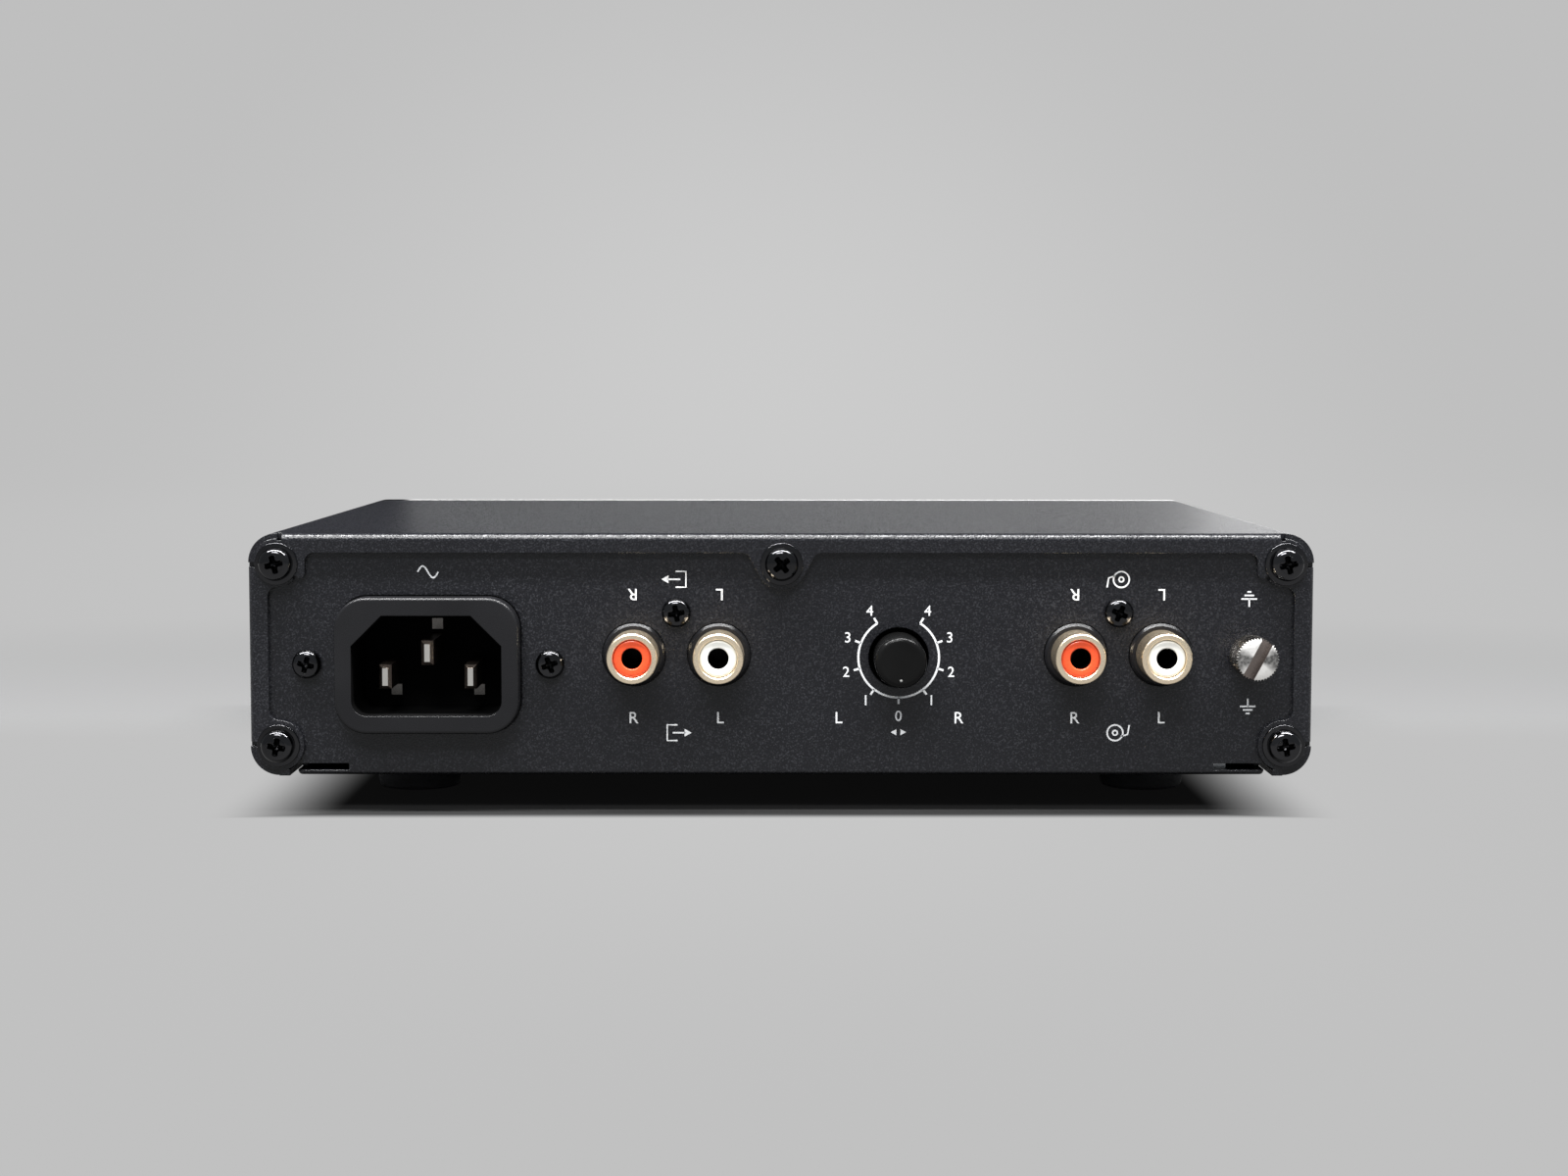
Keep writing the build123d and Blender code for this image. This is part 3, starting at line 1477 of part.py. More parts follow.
tab_rise = board_top + leg_height + regulator_tab_height - regulator_body[0] / 4
with BuildPart() as regulator:
    with BuildSketch(level(board_top + leg_height)):
        with Locations((regulator_x, regulator_y - regulator_body[1] / 2)):
            Rectangle(regulator_body[0], regulator_body[1])
    extrude(amount=regulator_body[2])
    with BuildSketch(level(board_top + leg_height)):
        with Locations((regulator_x, regulator_y - regulator_tab_thickness / 2)):
            Rectangle(regulator_body[0], regulator_tab_thickness)
    extrude(amount=regulator_tab_height)
    with BuildSketch(level(board_top)):
        with Locations((regulator_x, regulator_y - regulator_body[1] / 2)):
            with GridLocations(amplifier_pitch, 0, 3, 1):
                Rectangle(leg_size, leg_size)
    extrude(amount=leg_height)
    with BuildSketch(ahead(regulator_y - regulator_tab_thickness)):
        with Locations((regulator_x, tab_rise)):
            Circle(regulator_hole_radius)
    extrude(amount=-regulator_tab_thickness, mode=Mode.SUBTRACT)

regulator.part.label = "regulator"
export_step(regulator.part, "parts/regulator.step")

fin_pitch = (heatsink_width - heatsink_fin_sheet) / (heatsink_fins - 1)
with BuildPart() as heatsink:
    with BuildSketch(level(board_top)):
        with Locations((regulator_x, regulator_y + heatsink_web / 2)):
            Rectangle(heatsink_width, heatsink_web)
        with Locations((regulator_x, regulator_y + (heatsink_web + heatsink_fin_reach) / 2)):
            with GridLocations(fin_pitch, 0, heatsink_fins, 1):
                Rectangle(heatsink_fin_sheet, heatsink_web + heatsink_fin_reach)
    extrude(amount=heatsink_height)

heatsink.part.label = "regulator_heatsink"
export_step(heatsink.part, "parts/regulator_heatsink.step")

sheet_left = notch_side + insulator_side_gap
sheet_right = board_half - insulator_side_gap
sheet_rear = notch_front - insulator_rear_gap
sheet_front = board_front + insulator_front_gap
with BuildPart() as insulating_sheet:
    with BuildSketch(level(tray_sheet)):
        with Locations(((sheet_left + sheet_right) / 2, (sheet_front + sheet_rear) / 2)):
            Rectangle(sheet_right - sheet_left, sheet_rear - sheet_front)
    extrude(amount=insulator_sheet_thickness)

insulating_sheet.part.label = "insulating_sheet"
export_step(insulating_sheet.part, "parts/insulating_sheet.step")

# ================================================================ audio parts
with BuildPart() as dual_amplifier:
    with BuildSketch(Plane.XY.offset(amplifier_lift)):
        Rectangle(amplifier_size[0], amplifier_size[1])
    extrude(amount=amplifier_size[2])
    chamfer(dual_amplifier.edges().group_by(Axis.Z)[-1], moulded_edge / 2)
    with BuildSketch():
        with GridLocations(amplifier_pitch, amplifier_size[1] + amplifier_pin_width, amplifier_pins, 2):
            Rectangle(leg_size, amplifier_pin_width)
    extrude(amount=amplifier_lift + amplifier_size[2] / 2)
with BuildPart(level(board_top)) as amplifiers:
    with Locations(*amplifier_places):
        add(dual_amplifier.part)

amplifiers.part.label = "amplifier_circuits"
export_step(amplifiers.part, "parts/amplifier_circuits.step")

film_block = moulded_box(film_capacitor_size)
with BuildPart(level(board_top)) as film_capacitors:
    with Locations((film_capacitor_place[0] - phono_u, panel_back_y + film_capacitor_place[1])):
        with GridLocations(*film_capacitor_pitch, film_capacitor_columns, film_capacitor_rows):
            add(film_block)

film_capacitors.part.label = "film_capacitors"
export_step(film_capacitors.part, "parts/film_capacitors.step")

coupling_can = can_capacitor(coupling_capacitor_radius, coupling_capacitor_height)
with BuildPart(level(board_top)) as coupling_capacitors:
    with Locations((coupling_capacitor_place[0] - phono_u, board_front + coupling_capacitor_place[1])):
        with GridLocations(*coupling_capacitor_pitch, coupling_capacitor_columns, coupling_capacitor_rows):
            add(coupling_can)

coupling_capacitors.part.label = "coupling_capacitors"
export_step(coupling_capacitors.part, "parts/coupling_capacitors.step")
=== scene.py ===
"""Looks of the phono preamp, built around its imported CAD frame.

Lengths are in metres in the row's frame: +Z is up, and the connector panel faces +Y. "Across" runs
to the right as seen from behind, which is -X, and "rise" is the height above the case's bottom.
"""

import json
import math

import bmesh
import bpy
from mathutils import Matrix, Vector

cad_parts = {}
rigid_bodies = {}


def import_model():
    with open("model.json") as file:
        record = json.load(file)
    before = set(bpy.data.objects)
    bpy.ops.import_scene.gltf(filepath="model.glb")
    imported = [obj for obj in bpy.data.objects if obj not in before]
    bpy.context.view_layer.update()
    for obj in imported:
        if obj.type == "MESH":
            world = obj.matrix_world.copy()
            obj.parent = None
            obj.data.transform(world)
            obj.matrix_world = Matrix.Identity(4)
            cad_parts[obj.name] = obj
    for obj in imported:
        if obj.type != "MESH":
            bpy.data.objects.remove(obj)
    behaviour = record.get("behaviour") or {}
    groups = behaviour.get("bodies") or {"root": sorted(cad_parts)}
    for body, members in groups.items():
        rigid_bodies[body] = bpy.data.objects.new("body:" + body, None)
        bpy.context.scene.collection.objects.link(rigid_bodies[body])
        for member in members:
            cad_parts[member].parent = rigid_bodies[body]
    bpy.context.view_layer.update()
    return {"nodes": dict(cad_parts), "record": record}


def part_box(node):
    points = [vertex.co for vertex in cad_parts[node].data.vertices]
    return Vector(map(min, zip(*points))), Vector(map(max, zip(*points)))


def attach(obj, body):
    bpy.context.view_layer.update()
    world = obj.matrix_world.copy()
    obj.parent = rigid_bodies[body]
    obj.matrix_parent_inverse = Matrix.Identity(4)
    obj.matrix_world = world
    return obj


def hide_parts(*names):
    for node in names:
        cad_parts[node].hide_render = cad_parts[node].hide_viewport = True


for leftover in list(bpy.data.objects):
    bpy.data.objects.remove(leftover)

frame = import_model()
nodes = frame["nodes"]
scene = bpy.context.scene

MM = 0.001


# ---------------------------------------------------------------- places read from the frame
def middle(node):
    """The middle of a node's box."""
    low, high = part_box(node)
    return (low + high) / 2


panel_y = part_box("chassis_tray")[1].y
cover_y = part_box("top_cover")[1].y
case_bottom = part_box("top_cover")[0].z
dial_centre = middle("balance_knob")


# ---------------------------------------------------------------- material nodes
EDGE_ROUNDING = 0.22 * MM
NOISE_SPAN = (0.3, 0.7)  # most of a noise pattern's values lie between these
MIX_TONES = (6, 7)  # a Mix node's two colour inputs
MIX_RESULT = 2


class Finish:
    """A node material whose colour, roughness and bump come from procedural patterns."""

    def __init__(self, name, **constants):
        """Constants are values of the shader's own sockets."""
        self.material = bpy.data.materials.new(name)
        self.material.use_nodes = True
        self.tree = self.material.node_tree
        self.link = self.tree.links.new
        self.shader = self.tree.nodes["Principled BSDF"]
        for socket, value in constants.items():
            self.shader.inputs[socket.replace("_", " ")].default_value = value
        self.place = self.node("ShaderNodeTexCoord").outputs["Object"]

    def node(self, kind, links=None, **values):
        """Adds a node, sets its values by attribute or socket name and links the sockets given."""
        made = self.tree.nodes.new(kind)
        for key, value in values.items():
            if hasattr(made, key):
                setattr(made, key, value)
            else:
                made.inputs[key.replace("_", " ")].default_value = value
        for key, source in (links or {}).items():
            self.link(source, made.inputs[key])
        return made

    def feed(self, socket, value):
        """Links an input to another node's output, or sets its value."""
        if isinstance(value, bpy.types.NodeSocket):
            self.link(value, socket)
        else:
            socket.default_value = value

    def compute(self, operation, first, second=0.0):
        """A Math node's result from two outputs or numbers."""
        made = self.node("ShaderNodeMath", operation=operation)
        self.feed(made.inputs[0], first)
        self.feed(made.inputs[1], second)
        return made.outputs["Value"]

    def noise(self, size, detail=2.0):
        """Noise with features of about this size."""
        links = {"Vector": self.place}
        return self.node("ShaderNodeTexNoise", links, Scale=1 / size, Detail=detail).outputs["Fac"]

    def grains(self, size):
        """Distances in rounded grains of about this size."""
        links = {"Vector": self.place}
        return self.node("ShaderNodeTexVoronoi", links, Scale=1 / size).outputs["Distance"]

    def spread(self, source, low, high, to_low=0.0, to_high=1.0, interpolation_type="LINEAR"):
        """Maps one range of values to another, clamped."""
        made = self.node(
            "ShaderNodeMapRange", {"Value": source}, interpolation_type=interpolation_type,
            From_Min=low, From_Max=high, To_Min=to_low, To_Max=to_high)
        return made.outputs["Result"]

    def blend(self, factor, *tones):
        """A colour between two tones or two colour outputs."""
        made = self.node("ShaderNodeMix", {"Factor": factor}, data_type="RGBA")
        for socket, tone in zip(MIX_TONES, tones):
            is_output = isinstance(tone, bpy.types.NodeSocket)
            self.feed(made.inputs[socket], tone if is_output else (*tone, 1.0))
        return made.outputs[MIX_RESULT]

    def colour(self, source):
        """Takes the surface's colour from an output."""
        self.link(source, self.shader.inputs["Base Color"])

    def roughness(self, source, low, high):
        """Varies the roughness between two values by a noise pattern."""
        self.link(self.spread(source, *NOISE_SPAN, low, high), self.shader.inputs["Roughness"])

    def ease_edges(self):
        """Lets the light catch on sharp edges as it does on slightly worn ones."""
        eased = self.node("ShaderNodeBevel", samples=6, Radius=EDGE_ROUNDING)
        self.link(eased.outputs["Normal"], self.shader.inputs["Normal"])

    def bump(self, height, distance, strength):
        """Raises the surface by a pattern, on top of what already shapes its normal."""
        made = self.node(
            "ShaderNodeBump", {"Height": height}, Strength=strength, Distance=distance)
        normal = self.shader.inputs["Normal"]
        if normal.is_linked:
            self.link(normal.links[0].from_socket, made.inputs["Normal"])
        self.link(made.outputs["Normal"], normal)


def scaled(tone, share):
    """A tone at a share of its brightness."""
    return [channel * share for channel in tone]


def turned_metal(name, tone, roughness, centre):
    """A faced-off disc with a painted reflection: bright above and below its centre, dark to the
    sides.

    Fine turned rings stretch a reflection into such a bow tie. Here it is part of the colour, so
    it turns with the disc.
    """
    finish = Finish(name, Metallic=1.0)
    axes = finish.node("ShaderNodeSeparateXYZ", {"Vector": finish.place}).outputs
    across = finish.compute("ABSOLUTE", finish.compute("SUBTRACT", axes["X"], centre.x))
    rise = finish.compute("ABSOLUTE", finish.compute("SUBTRACT", axes["Z"], centre.z))
    steep = finish.spread(finish.compute("DIVIDE", rise, across), low=0.3, high=0.95)
    # painted reflection: bright sectors above and below the centre, dark sectors to the sides
    painted_bow_tie_reflection = finish.blend(steep, scaled(tone, 0.12), tone)
    drift = finish.noise(size=0.5 * MM)
    worn = finish.spread(drift, low=0.35, high=0.75, to_high=0.5)
    finish.colour(finish.blend(worn, painted_bow_tie_reflection, scaled(tone, 0.6)))
    finish.roughness(drift, low=roughness * 0.8, high=roughness * 1.2)
    finish.bump(finish.noise(size=0.06 * MM), distance=0.004 * MM, strength=0.5)
    return finish.material


def powder_coat(name, tone, glint, grain, roughness, **constants):
    """Baked powder paint: a pebbled skin with tiny paler specks, the glint."""
    finish = Finish(name, **constants)
    finish.ease_edges()
    pebbles = finish.grains(size=grain)
    specks = finish.noise(size=grain * 0.7, detail=3.0)
    clouds = finish.noise(size=grain * 90)
    speckled = finish.blend(finish.spread(specks, low=0.52, high=0.74), tone, glint)
    clouded = finish.spread(clouds, low=0.35, high=0.65, to_high=0.35)
    finish.colour(finish.blend(clouded, speckled, scaled(tone, 0.8)))
    finish.roughness(specks, low=roughness - 0.03, high=roughness + 0.03)
    finish.bump(pebbles, distance=grain * 0.13, strength=0.7)
    finish.bump(specks, distance=grain * 0.07, strength=0.5)
    return finish.material


def moulded_plastic(name, tone, roughness, grain=0.25 * MM, depth=0.2, eased=False, **constants):
    """Injection-moulded plastic: a nearly even tone and a fine texture, depth times its grain."""
    finish = Finish(name, **constants)
    if eased:
        finish.ease_edges()
    texture = finish.noise(size=grain, detail=3.0)
    clouds = finish.noise(size=grain * 60)
    pale = [min(1.0, channel + 0.002) for channel in scaled(tone, 1.25)]
    finish.colour(finish.blend(finish.spread(clouds, *NOISE_SPAN), tone, pale))
    finish.roughness(texture, low=roughness - 0.06, high=roughness + 0.06)
    finish.bump(texture, distance=grain * depth, strength=0.5)
    return finish.material


def plated_metal(name, tone, roughness, grain=0.12 * MM, tint=0.85):
    """Plated or bare metal with fine marks, whose tone drifts to its share given by tint."""
    finish = Finish(name, Metallic=1.0)
    marks = finish.noise(size=grain, detail=4.0)
    drift = finish.noise(size=grain * 40)
    finish.colour(finish.blend(finish.spread(drift, *NOISE_SPAN), tone, scaled(tone, tint)))
    finish.roughness(marks, low=roughness * 0.6, high=roughness * 1.4)
    finish.bump(marks, distance=grain * 0.12, strength=0.35)
    return finish.material


def printed_ink(name, tone):
    """Screen-printed ink: nearly even, with pinholes and soft density changes."""
    finish = Finish(name, Specular_IOR_Level=0.35)
    density = finish.noise(size=0.35 * MM, detail=3.0)
    dense = finish.spread(density, low=0.28, high=0.45)
    finish.colour(finish.blend(dense, scaled(tone, 0.72), tone))
    finish.roughness(density, low=0.45, high=0.6)
    finish.bump(density, distance=0.01 * MM, strength=0.4)
    return finish.material


def wound_wire(name, tone, gap_painted_shade, pitch, roughness):
    """Turns of enamelled wire, one above the other, with painted shade in the gaps between them."""
    wave_rate = 20  # radians that a Wave node's bands turn through in one unit of its vector
    radian = pitch / math.tau
    finish = Finish(name, Metallic=0.9)
    waves = finish.node(
        "ShaderNodeTexWave", {"Vector": finish.place}, bands_direction="Z",
        Scale=1 / (radian * wave_rate), Distortion=0.6, Detail=1.0).outputs["Fac"]
    # painted shade in the gaps between the turns
    finish.colour(finish.blend(finish.spread(waves, low=0.1, high=0.5), gap_painted_shade, tone))
    finish.roughness(finish.noise(size=radian * 3), low=roughness - 0.08, high=roughness + 0.08)
    finish.bump(waves, distance=radian * 0.3, strength=0.8)
    return finish.material


METALS = {
    "fascia_black": dict(tone=(0.034, 0.034, 0.036), roughness=0.10, grain=0.10 * MM, tint=0.8),
    "black_screw": dict(tone=(0.055, 0.055, 0.058), roughness=0.09, grain=0.25 * MM, tint=0.6),
    "gold": dict(tone=(1.0, 0.84, 0.62), roughness=0.30, grain=0.08 * MM, tint=0.93),
    "nickel": dict(tone=(0.80, 0.78, 0.74), roughness=0.16, grain=0.10 * MM),
    # painted shade: darker copies of nickel for the ground screw's knurled flank and its slot
    "knurl_metal": dict(tone=(0.30, 0.28, 0.26), roughness=0.22, grain=0.10 * MM),
    "slot_metal": dict(tone=(0.27, 0.23, 0.21), roughness=0.35, grain=0.10 * MM),
    # painted shade: darker copies of the blades' nickel, for the tongues and the blades' flanks
    "tongue_painted_shade": dict(tone=(0.17, 0.16, 0.15), roughness=0.3, grain=0.10 * MM),
    "blade_flank_painted_shade": dict(tone=(0.16, 0.13, 0.11), roughness=0.35, grain=0.10 * MM),
    # painted shade: a near-black copy of the jack contacts' metal, deep in the jacks
    "contact_painted_shade": dict(tone=(0.012, 0.009, 0.006), roughness=0.5),
    "zinc": dict(tone=(0.62, 0.63, 0.64), roughness=0.28),
    "pot_metal": dict(tone=(0.55, 0.55, 0.54), roughness=0.35),
    "shaft_metal": dict(tone=(0.72, 0.72, 0.73), roughness=0.25),
    "heatsink_black": dict(tone=(0.05, 0.05, 0.05), roughness=0.45),
}
PLASTICS = {
    "inlet_plastic": dict(
        tone=(0.006, 0.006, 0.007), roughness=0.30, grain=0.20 * MM, eased=True,
        Specular_IOR_Level=0.32),
    # painted shade: near-black, for the inlet's cavity and the potentiometer's front
    "cavity_painted_shade": dict(
        tone=(0.0015, 0.0015, 0.0016), roughness=0.7, grain=0.20 * MM, Specular_IOR_Level=0.05),
    "knob_plastic": dict(
        tone=(0.003, 0.003, 0.003), roughness=0.22, grain=0.15 * MM, Specular_IOR_Level=0.12),
    "jack_plastic": dict(tone=(0.006, 0.006, 0.007), roughness=0.28, Specular_IOR_Level=0.2),
    # painted shade for the insulators' bores
    "bore_shade": dict(tone=(0.003, 0.002, 0.002), roughness=0.8, Specular_IOR_Level=0.0),
    "insulator_red": dict(tone=(0.83, 0.085, 0.022), roughness=0.30, Coat_Weight=0.2),
    "insulator_white": dict(tone=(0.84, 0.81, 0.74), roughness=0.30, Coat_Weight=0.2),
    "clear_plastic": dict(tone=(0.82, 0.86, 0.88), roughness=0.12, Transmission_Weight=0.8),
    "glass": dict(tone=(0.92, 0.95, 0.95), roughness=0.06, Transmission_Weight=1.0),
    "board": dict(
        tone=(0.012, 0.11, 0.045), roughness=0.32, grain=0.8 * MM, depth=0.1, Coat_Weight=0.3),
    "rubber": dict(tone=(0.020, 0.020, 0.021), roughness=0.75, grain=0.4 * MM, depth=0.3),
    "ferrite": dict(tone=(0.045, 0.044, 0.046), roughness=0.6, grain=0.3 * MM, depth=0.4),
    "plunger_plastic": dict(tone=(0.74, 0.74, 0.71), roughness=0.45),
    "switch_plastic": dict(tone=(0.030, 0.030, 0.032), roughness=0.5),
    "terminal_green": dict(tone=(0.045, 0.25, 0.10), roughness=0.42),
    "wire_black": dict(tone=(0.02, 0.02, 0.02), roughness=0.45),
    "wire_green": dict(tone=(0.09, 0.32, 0.06), roughness=0.42),
    "film_yellow": dict(tone=(0.62, 0.42, 0.07), roughness=0.35),
    "regulator_black": dict(tone=(0.03, 0.03, 0.03), roughness=0.5),
    "sheet_clear": dict(tone=(0.70, 0.68, 0.60), roughness=0.3),
    "can_sleeve": dict(tone=(0.03, 0.04, 0.08), roughness=0.33),
}
INKS = {"panel_ink": (0.80, 0.81, 0.82), "pointer_ink": (0.30, 0.30, 0.29)}

FINISHES = {name: plated_metal(name, **look) for name, look in METALS.items()}
FINISHES |= {name: moulded_plastic(name, **look) for name, look in PLASTICS.items()}
FINISHES |= {name: printed_ink(name, tone) for name, tone in INKS.items()}
FINISHES["case_paint"] = powder_coat(
    "case_paint", tone=(0.0045, 0.0047, 0.0066), glint=(0.040, 0.041, 0.047), grain=0.34 * MM,
    roughness=0.28, Specular_IOR_Level=0.4)
FINISHES["copper"] = wound_wire(
    "copper", tone=(0.72, 0.30, 0.14), gap_painted_shade=(0.20, 0.06, 0.03), pitch=0.4 * math.tau * MM,
    roughness=0.3)
FINISHES["turned_face"] = turned_metal(
    "turned_face", tone=(0.99, 0.97, 0.94), roughness=0.5, centre=middle("ground_screw"))


# ---------------------------------------------------------------- finishes of the CAD nodes
FACES_REAR = 0.95  # a face whose normal's Y is at least this looks out of the connector panel
CAVITY_HALF_WIDTH = 12.4 * MM
CAVITY_HALF_HEIGHT = 8.35 * MM
CAVITY_RIM = 0.2 * MM  # where the cavity's painted shade starts, from the shroud's rim
CAVITY_REACH = 18.4 * MM
TONGUE_DEPTH = 6.0 * MM  # the contact tongues' ends lie deeper than this, and the blades' don't


def paint_nodes():
    """Gives every CAD node the finish of its slot, then paints shade on some nodes and faces."""
    for part in frame["record"]["subparts"]:
        mesh = nodes[part["node"]].data
        mesh.materials.clear()
        mesh.materials.append(FINISHES[part["material_slot"]])
    shade_inlet()
    shade_pot_face()
    # painted shade: the contacts deep in the jacks are near-black
    nodes["jack_contacts"].data.materials[0] = FINISHES["contact_painted_shade"]


def add_finishes(mesh, *names):
    """Puts finishes on a mesh after those that it has. Its faces pick one by its index."""
    for name in names:
        mesh.materials.append(FINISHES[name])


def paint_faces(mesh, index, chosen):
    """Gives the faces that a test chooses the mesh's finish with this index."""
    for face in mesh.polygons:
        if chosen(face):
            face.material_index = index


def shade_pot_face():
    """Painted shade: the potentiometer's front, seen through the gap round the knob, is painted
    black.
    """
    mesh = nodes["balance_pot_body"].data
    add_finishes(mesh, "cavity_painted_shade")
    paint_faces(mesh, 1, lambda face: face.normal.y > FACES_REAR)


def shade_inlet():
    """Painted shade: the inlet's cavity is painted black, and only the blades' ends stay bright."""
    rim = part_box("inlet_body")[1].y
    centre = middle("inlet_body")

    def in_cavity(face):
        offset = face.center - centre
        inside = abs(offset.x) < CAVITY_HALF_WIDTH and abs(offset.z) < CAVITY_HALF_HEIGHT
        return inside and rim - CAVITY_REACH < face.center.y < rim - CAVITY_RIM

    shroud = nodes["inlet_body"].data
    add_finishes(shroud, "cavity_painted_shade")
    # painted shade: the cavity is painted near-black
    paint_faces(shroud, 1, in_cavity)
    for node in ("inlet_line_pins", "inlet_earth_pin"):
        blades = nodes[node].data
        # painted shade: the tongues deep in the cavity and the blades' flanks get darker nickel
        add_finishes(blades, "blade_flank_painted_shade", "tongue_painted_shade")
        paint_faces(blades, 2, lambda face: face.center.y < rim - TONGUE_DEPTH)
        paint_faces(blades, 1, lambda face: face.normal.y < FACES_REAR)


# ---------------------------------------------------------------- mesh helpers
SHARP_ABOVE = 32  # degrees between two faces, above which their edge is a crease
BEVEL_ABOVE = 50  # and above which it gets a bevel


def linked(name, data):
    """A new object in the scene."""
    made = bpy.data.objects.new(name, data)
    scene.collection.objects.link(made)
    return made


def new_piece(name, mesh, body, slot, *finishes):
    """A piece that rides on a body and shows the finishes named. Its slot argument is not used."""
    mesh.name = name
    add_finishes(mesh, *finishes)
    piece = linked(name, mesh)
    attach(piece, body)
    return piece


def mesh_of(name, build):
    """A mesh made by a function that fills a bmesh."""
    form = bmesh.new()
    build(form)
    bmesh.ops.recalc_face_normals(form, faces=form.faces)
    mesh = bpy.data.meshes.new(name)
    form.to_mesh(mesh)
    form.free()
    return mesh


def merged(name, meshes):
    """One mesh made of several."""

    def build(form):
        for mesh in meshes:
            form.from_mesh(mesh)

    return mesh_of(name, build)


def evaluated(holder):
    """An object's mesh with its modifiers applied, or a text's mesh."""
    bpy.context.view_layer.update()
    graph = bpy.context.evaluated_depsgraph_get()
    return bpy.data.meshes.new_from_object(holder.evaluated_get(graph))


def carved(name, solid, cutter, bevel=0.0):
    """A mesh with another cut out of it, and its sharp edges eased."""
    holder, knife = (linked(name, mesh) for mesh in (solid, cutter))
    cut = holder.modifiers.new("cut", "BOOLEAN")
    cut.operation = "DIFFERENCE"
    cut.solver = "EXACT"
    cut.object = knife
    if bevel:
        ease = holder.modifiers.new("ease", "BEVEL")
        ease.width = bevel
        ease.segments = 2
        ease.limit_method = "ANGLE"
        ease.angle_limit = math.radians(BEVEL_ABOVE)
    result = evaluated(holder)
    for used in (holder, knife):
        bpy.data.objects.remove(used)
    return result


def sharpen(mesh):
    """Smooth shading with creases where faces meet at a wide angle."""
    for polygon in mesh.polygons:
        polygon.use_smooth = True
    mesh.set_sharp_from_angle(angle=math.radians(SHARP_ABOVE))


def standing(mesh, across, y, rise, degrees=0):
    """A copy of a mesh with its foot at a place, turned clockwise as seen from behind."""
    copy = mesh.copy()
    spin = Matrix.Rotation(math.radians(degrees), 4, "Y")
    copy.transform(Matrix.Translation((across, y, rise)) @ spin)
    return copy


def set_of(name, meshes, body, slot, node, *extra):
    """One piece made of several meshes, in place of a node. Extra finishes follow the slot's."""
    mesh = merged(name, meshes)
    sharpen(mesh)
    piece = new_piece(name, mesh, body, slot, slot, *extra)
    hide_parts(node)


# ---------------------------------------------------------------- turned forms
def ring_at(form, y, radii, centre=(0, 0)):
    """A ring of vertices round the Y axis through centre, with a radius for each."""
    ring = []
    for step, radius in enumerate(radii):
        a = math.tau * step / len(radii)
        place = (centre[0] + radius * math.cos(a), y, centre[1] + radius * math.sin(a))
        ring.append(form.verts.new(place))
    return ring


def bridge(form, rings):
    """Faces between each two neighbouring rings. A ring may be a single vertex."""
    for first, second in zip(rings, rings[1:]):
        steps = max(len(first), len(second))
        for step in range(steps):
            after = (step + 1) % steps
            corners = [first[step % len(first)], first[after % len(first)]]
            corners += [second[after % len(second)], second[step % len(second)]]
            form.faces.new(list(dict.fromkeys(corners)))


def turned(name, profile, steps, centre=(0, 0)):
    """A mesh turned from (radius, y) points about the Y axis through centre.

    A radius of 0 makes a single vertex.
    """

    def build(form):
        bridge(form, [ring_at(form, y, [radius] * (steps if radius else 1), centre)
                      for radius, y in profile])

    return mesh_of(name, build)


def from_axis(face):
    """A face's distance from the Y axis."""
    return math.hypot(face.center.x, face.center.z)


def rounded(corner, start, end, radius, steps=5):
    """Points that round the corner of a profile between its two neighbours."""
    corner, start, end = Vector(corner), Vector(start), Vector(end)
    one = (start - corner).normalized()
    two = (end - corner).normalized()
    reach = radius / math.tan(one.angle(two) / 2)
    first, last = corner + one * reach, corner + two * reach
    points = []
    for step in range(steps + 1):
        t = step / steps
        points.append(tuple((1 - t) ** 2 * first + 2 * t * (1 - t) * corner + t * t * last))
    return points


THREAD_PITCH = 0.5 * MM
THREAD_DEPTH = 0.22 * MM
THREAD_CREST = 0.15  # where a turn has its crest and its root, as shares of the pitch
THREAD_ROOT = 0.6


def thread_profile(top, bottom, radius):
    """A zigzag of thread crests and roots between two heights."""
    points = []
    y = top
    while y - THREAD_PITCH > bottom:
        points.append((radius, y - THREAD_CREST * THREAD_PITCH))
        points.append((radius - THREAD_DEPTH, y - THREAD_ROOT * THREAD_PITCH))
        y -= THREAD_PITCH
    points.append((radius - THREAD_DEPTH, bottom + THREAD_DEPTH))
    return points + [(radius - 2 * THREAD_DEPTH, bottom)]


# ---------------------------------------------------------------- cross-recess screws and washers
SHANK_RADIUS = 1.47 * MM
SHANK_START = -0.3 * MM  # the thread's top, under the head
RECESS_LEVELS = (  # share of the head's height, and wing reach, half width and throat in mm
    (1.15, 1.62, 0.50, 0.20),
    (0.98, 1.56, 0.47, 0.19),
    (0.45, 1.00, 0.36, 0.14),
    (0.30, 0.62, 0.30, 0.08),
)
RECESS_FLOOR = 0.12  # the recess's lowest point, as a share of the head's height
RECESS_EDGE = 0.05 * MM
WING_SHOULDER = 0.9  # where a wing starts to round off, as a share of its reach
WING_FLAT = 0.45  # the flat end of a wing, as a share of its width
HEAD_CROWN = ((0.0, 1.0), (0.30, 0.995), (0.52, 0.975))  # shares of the head's radius and height
HEAD_LIP = 0.955  # where the crown meets the rounded edge, as a share of the head's height
HEAD_EDGE = 0.62  # that edge's height, as a share of the head's
HEAD_EDGE_REACH = 1.05  # its reach inwards, as a share of its own height
HEAD_EDGE_STEPS = 12
HEAD_FOOT = 0.10  # height of the chamfer at the head's foot, as a share of the head's height
HEAD_FOOT_REACH = 0.04  # and how far it goes in


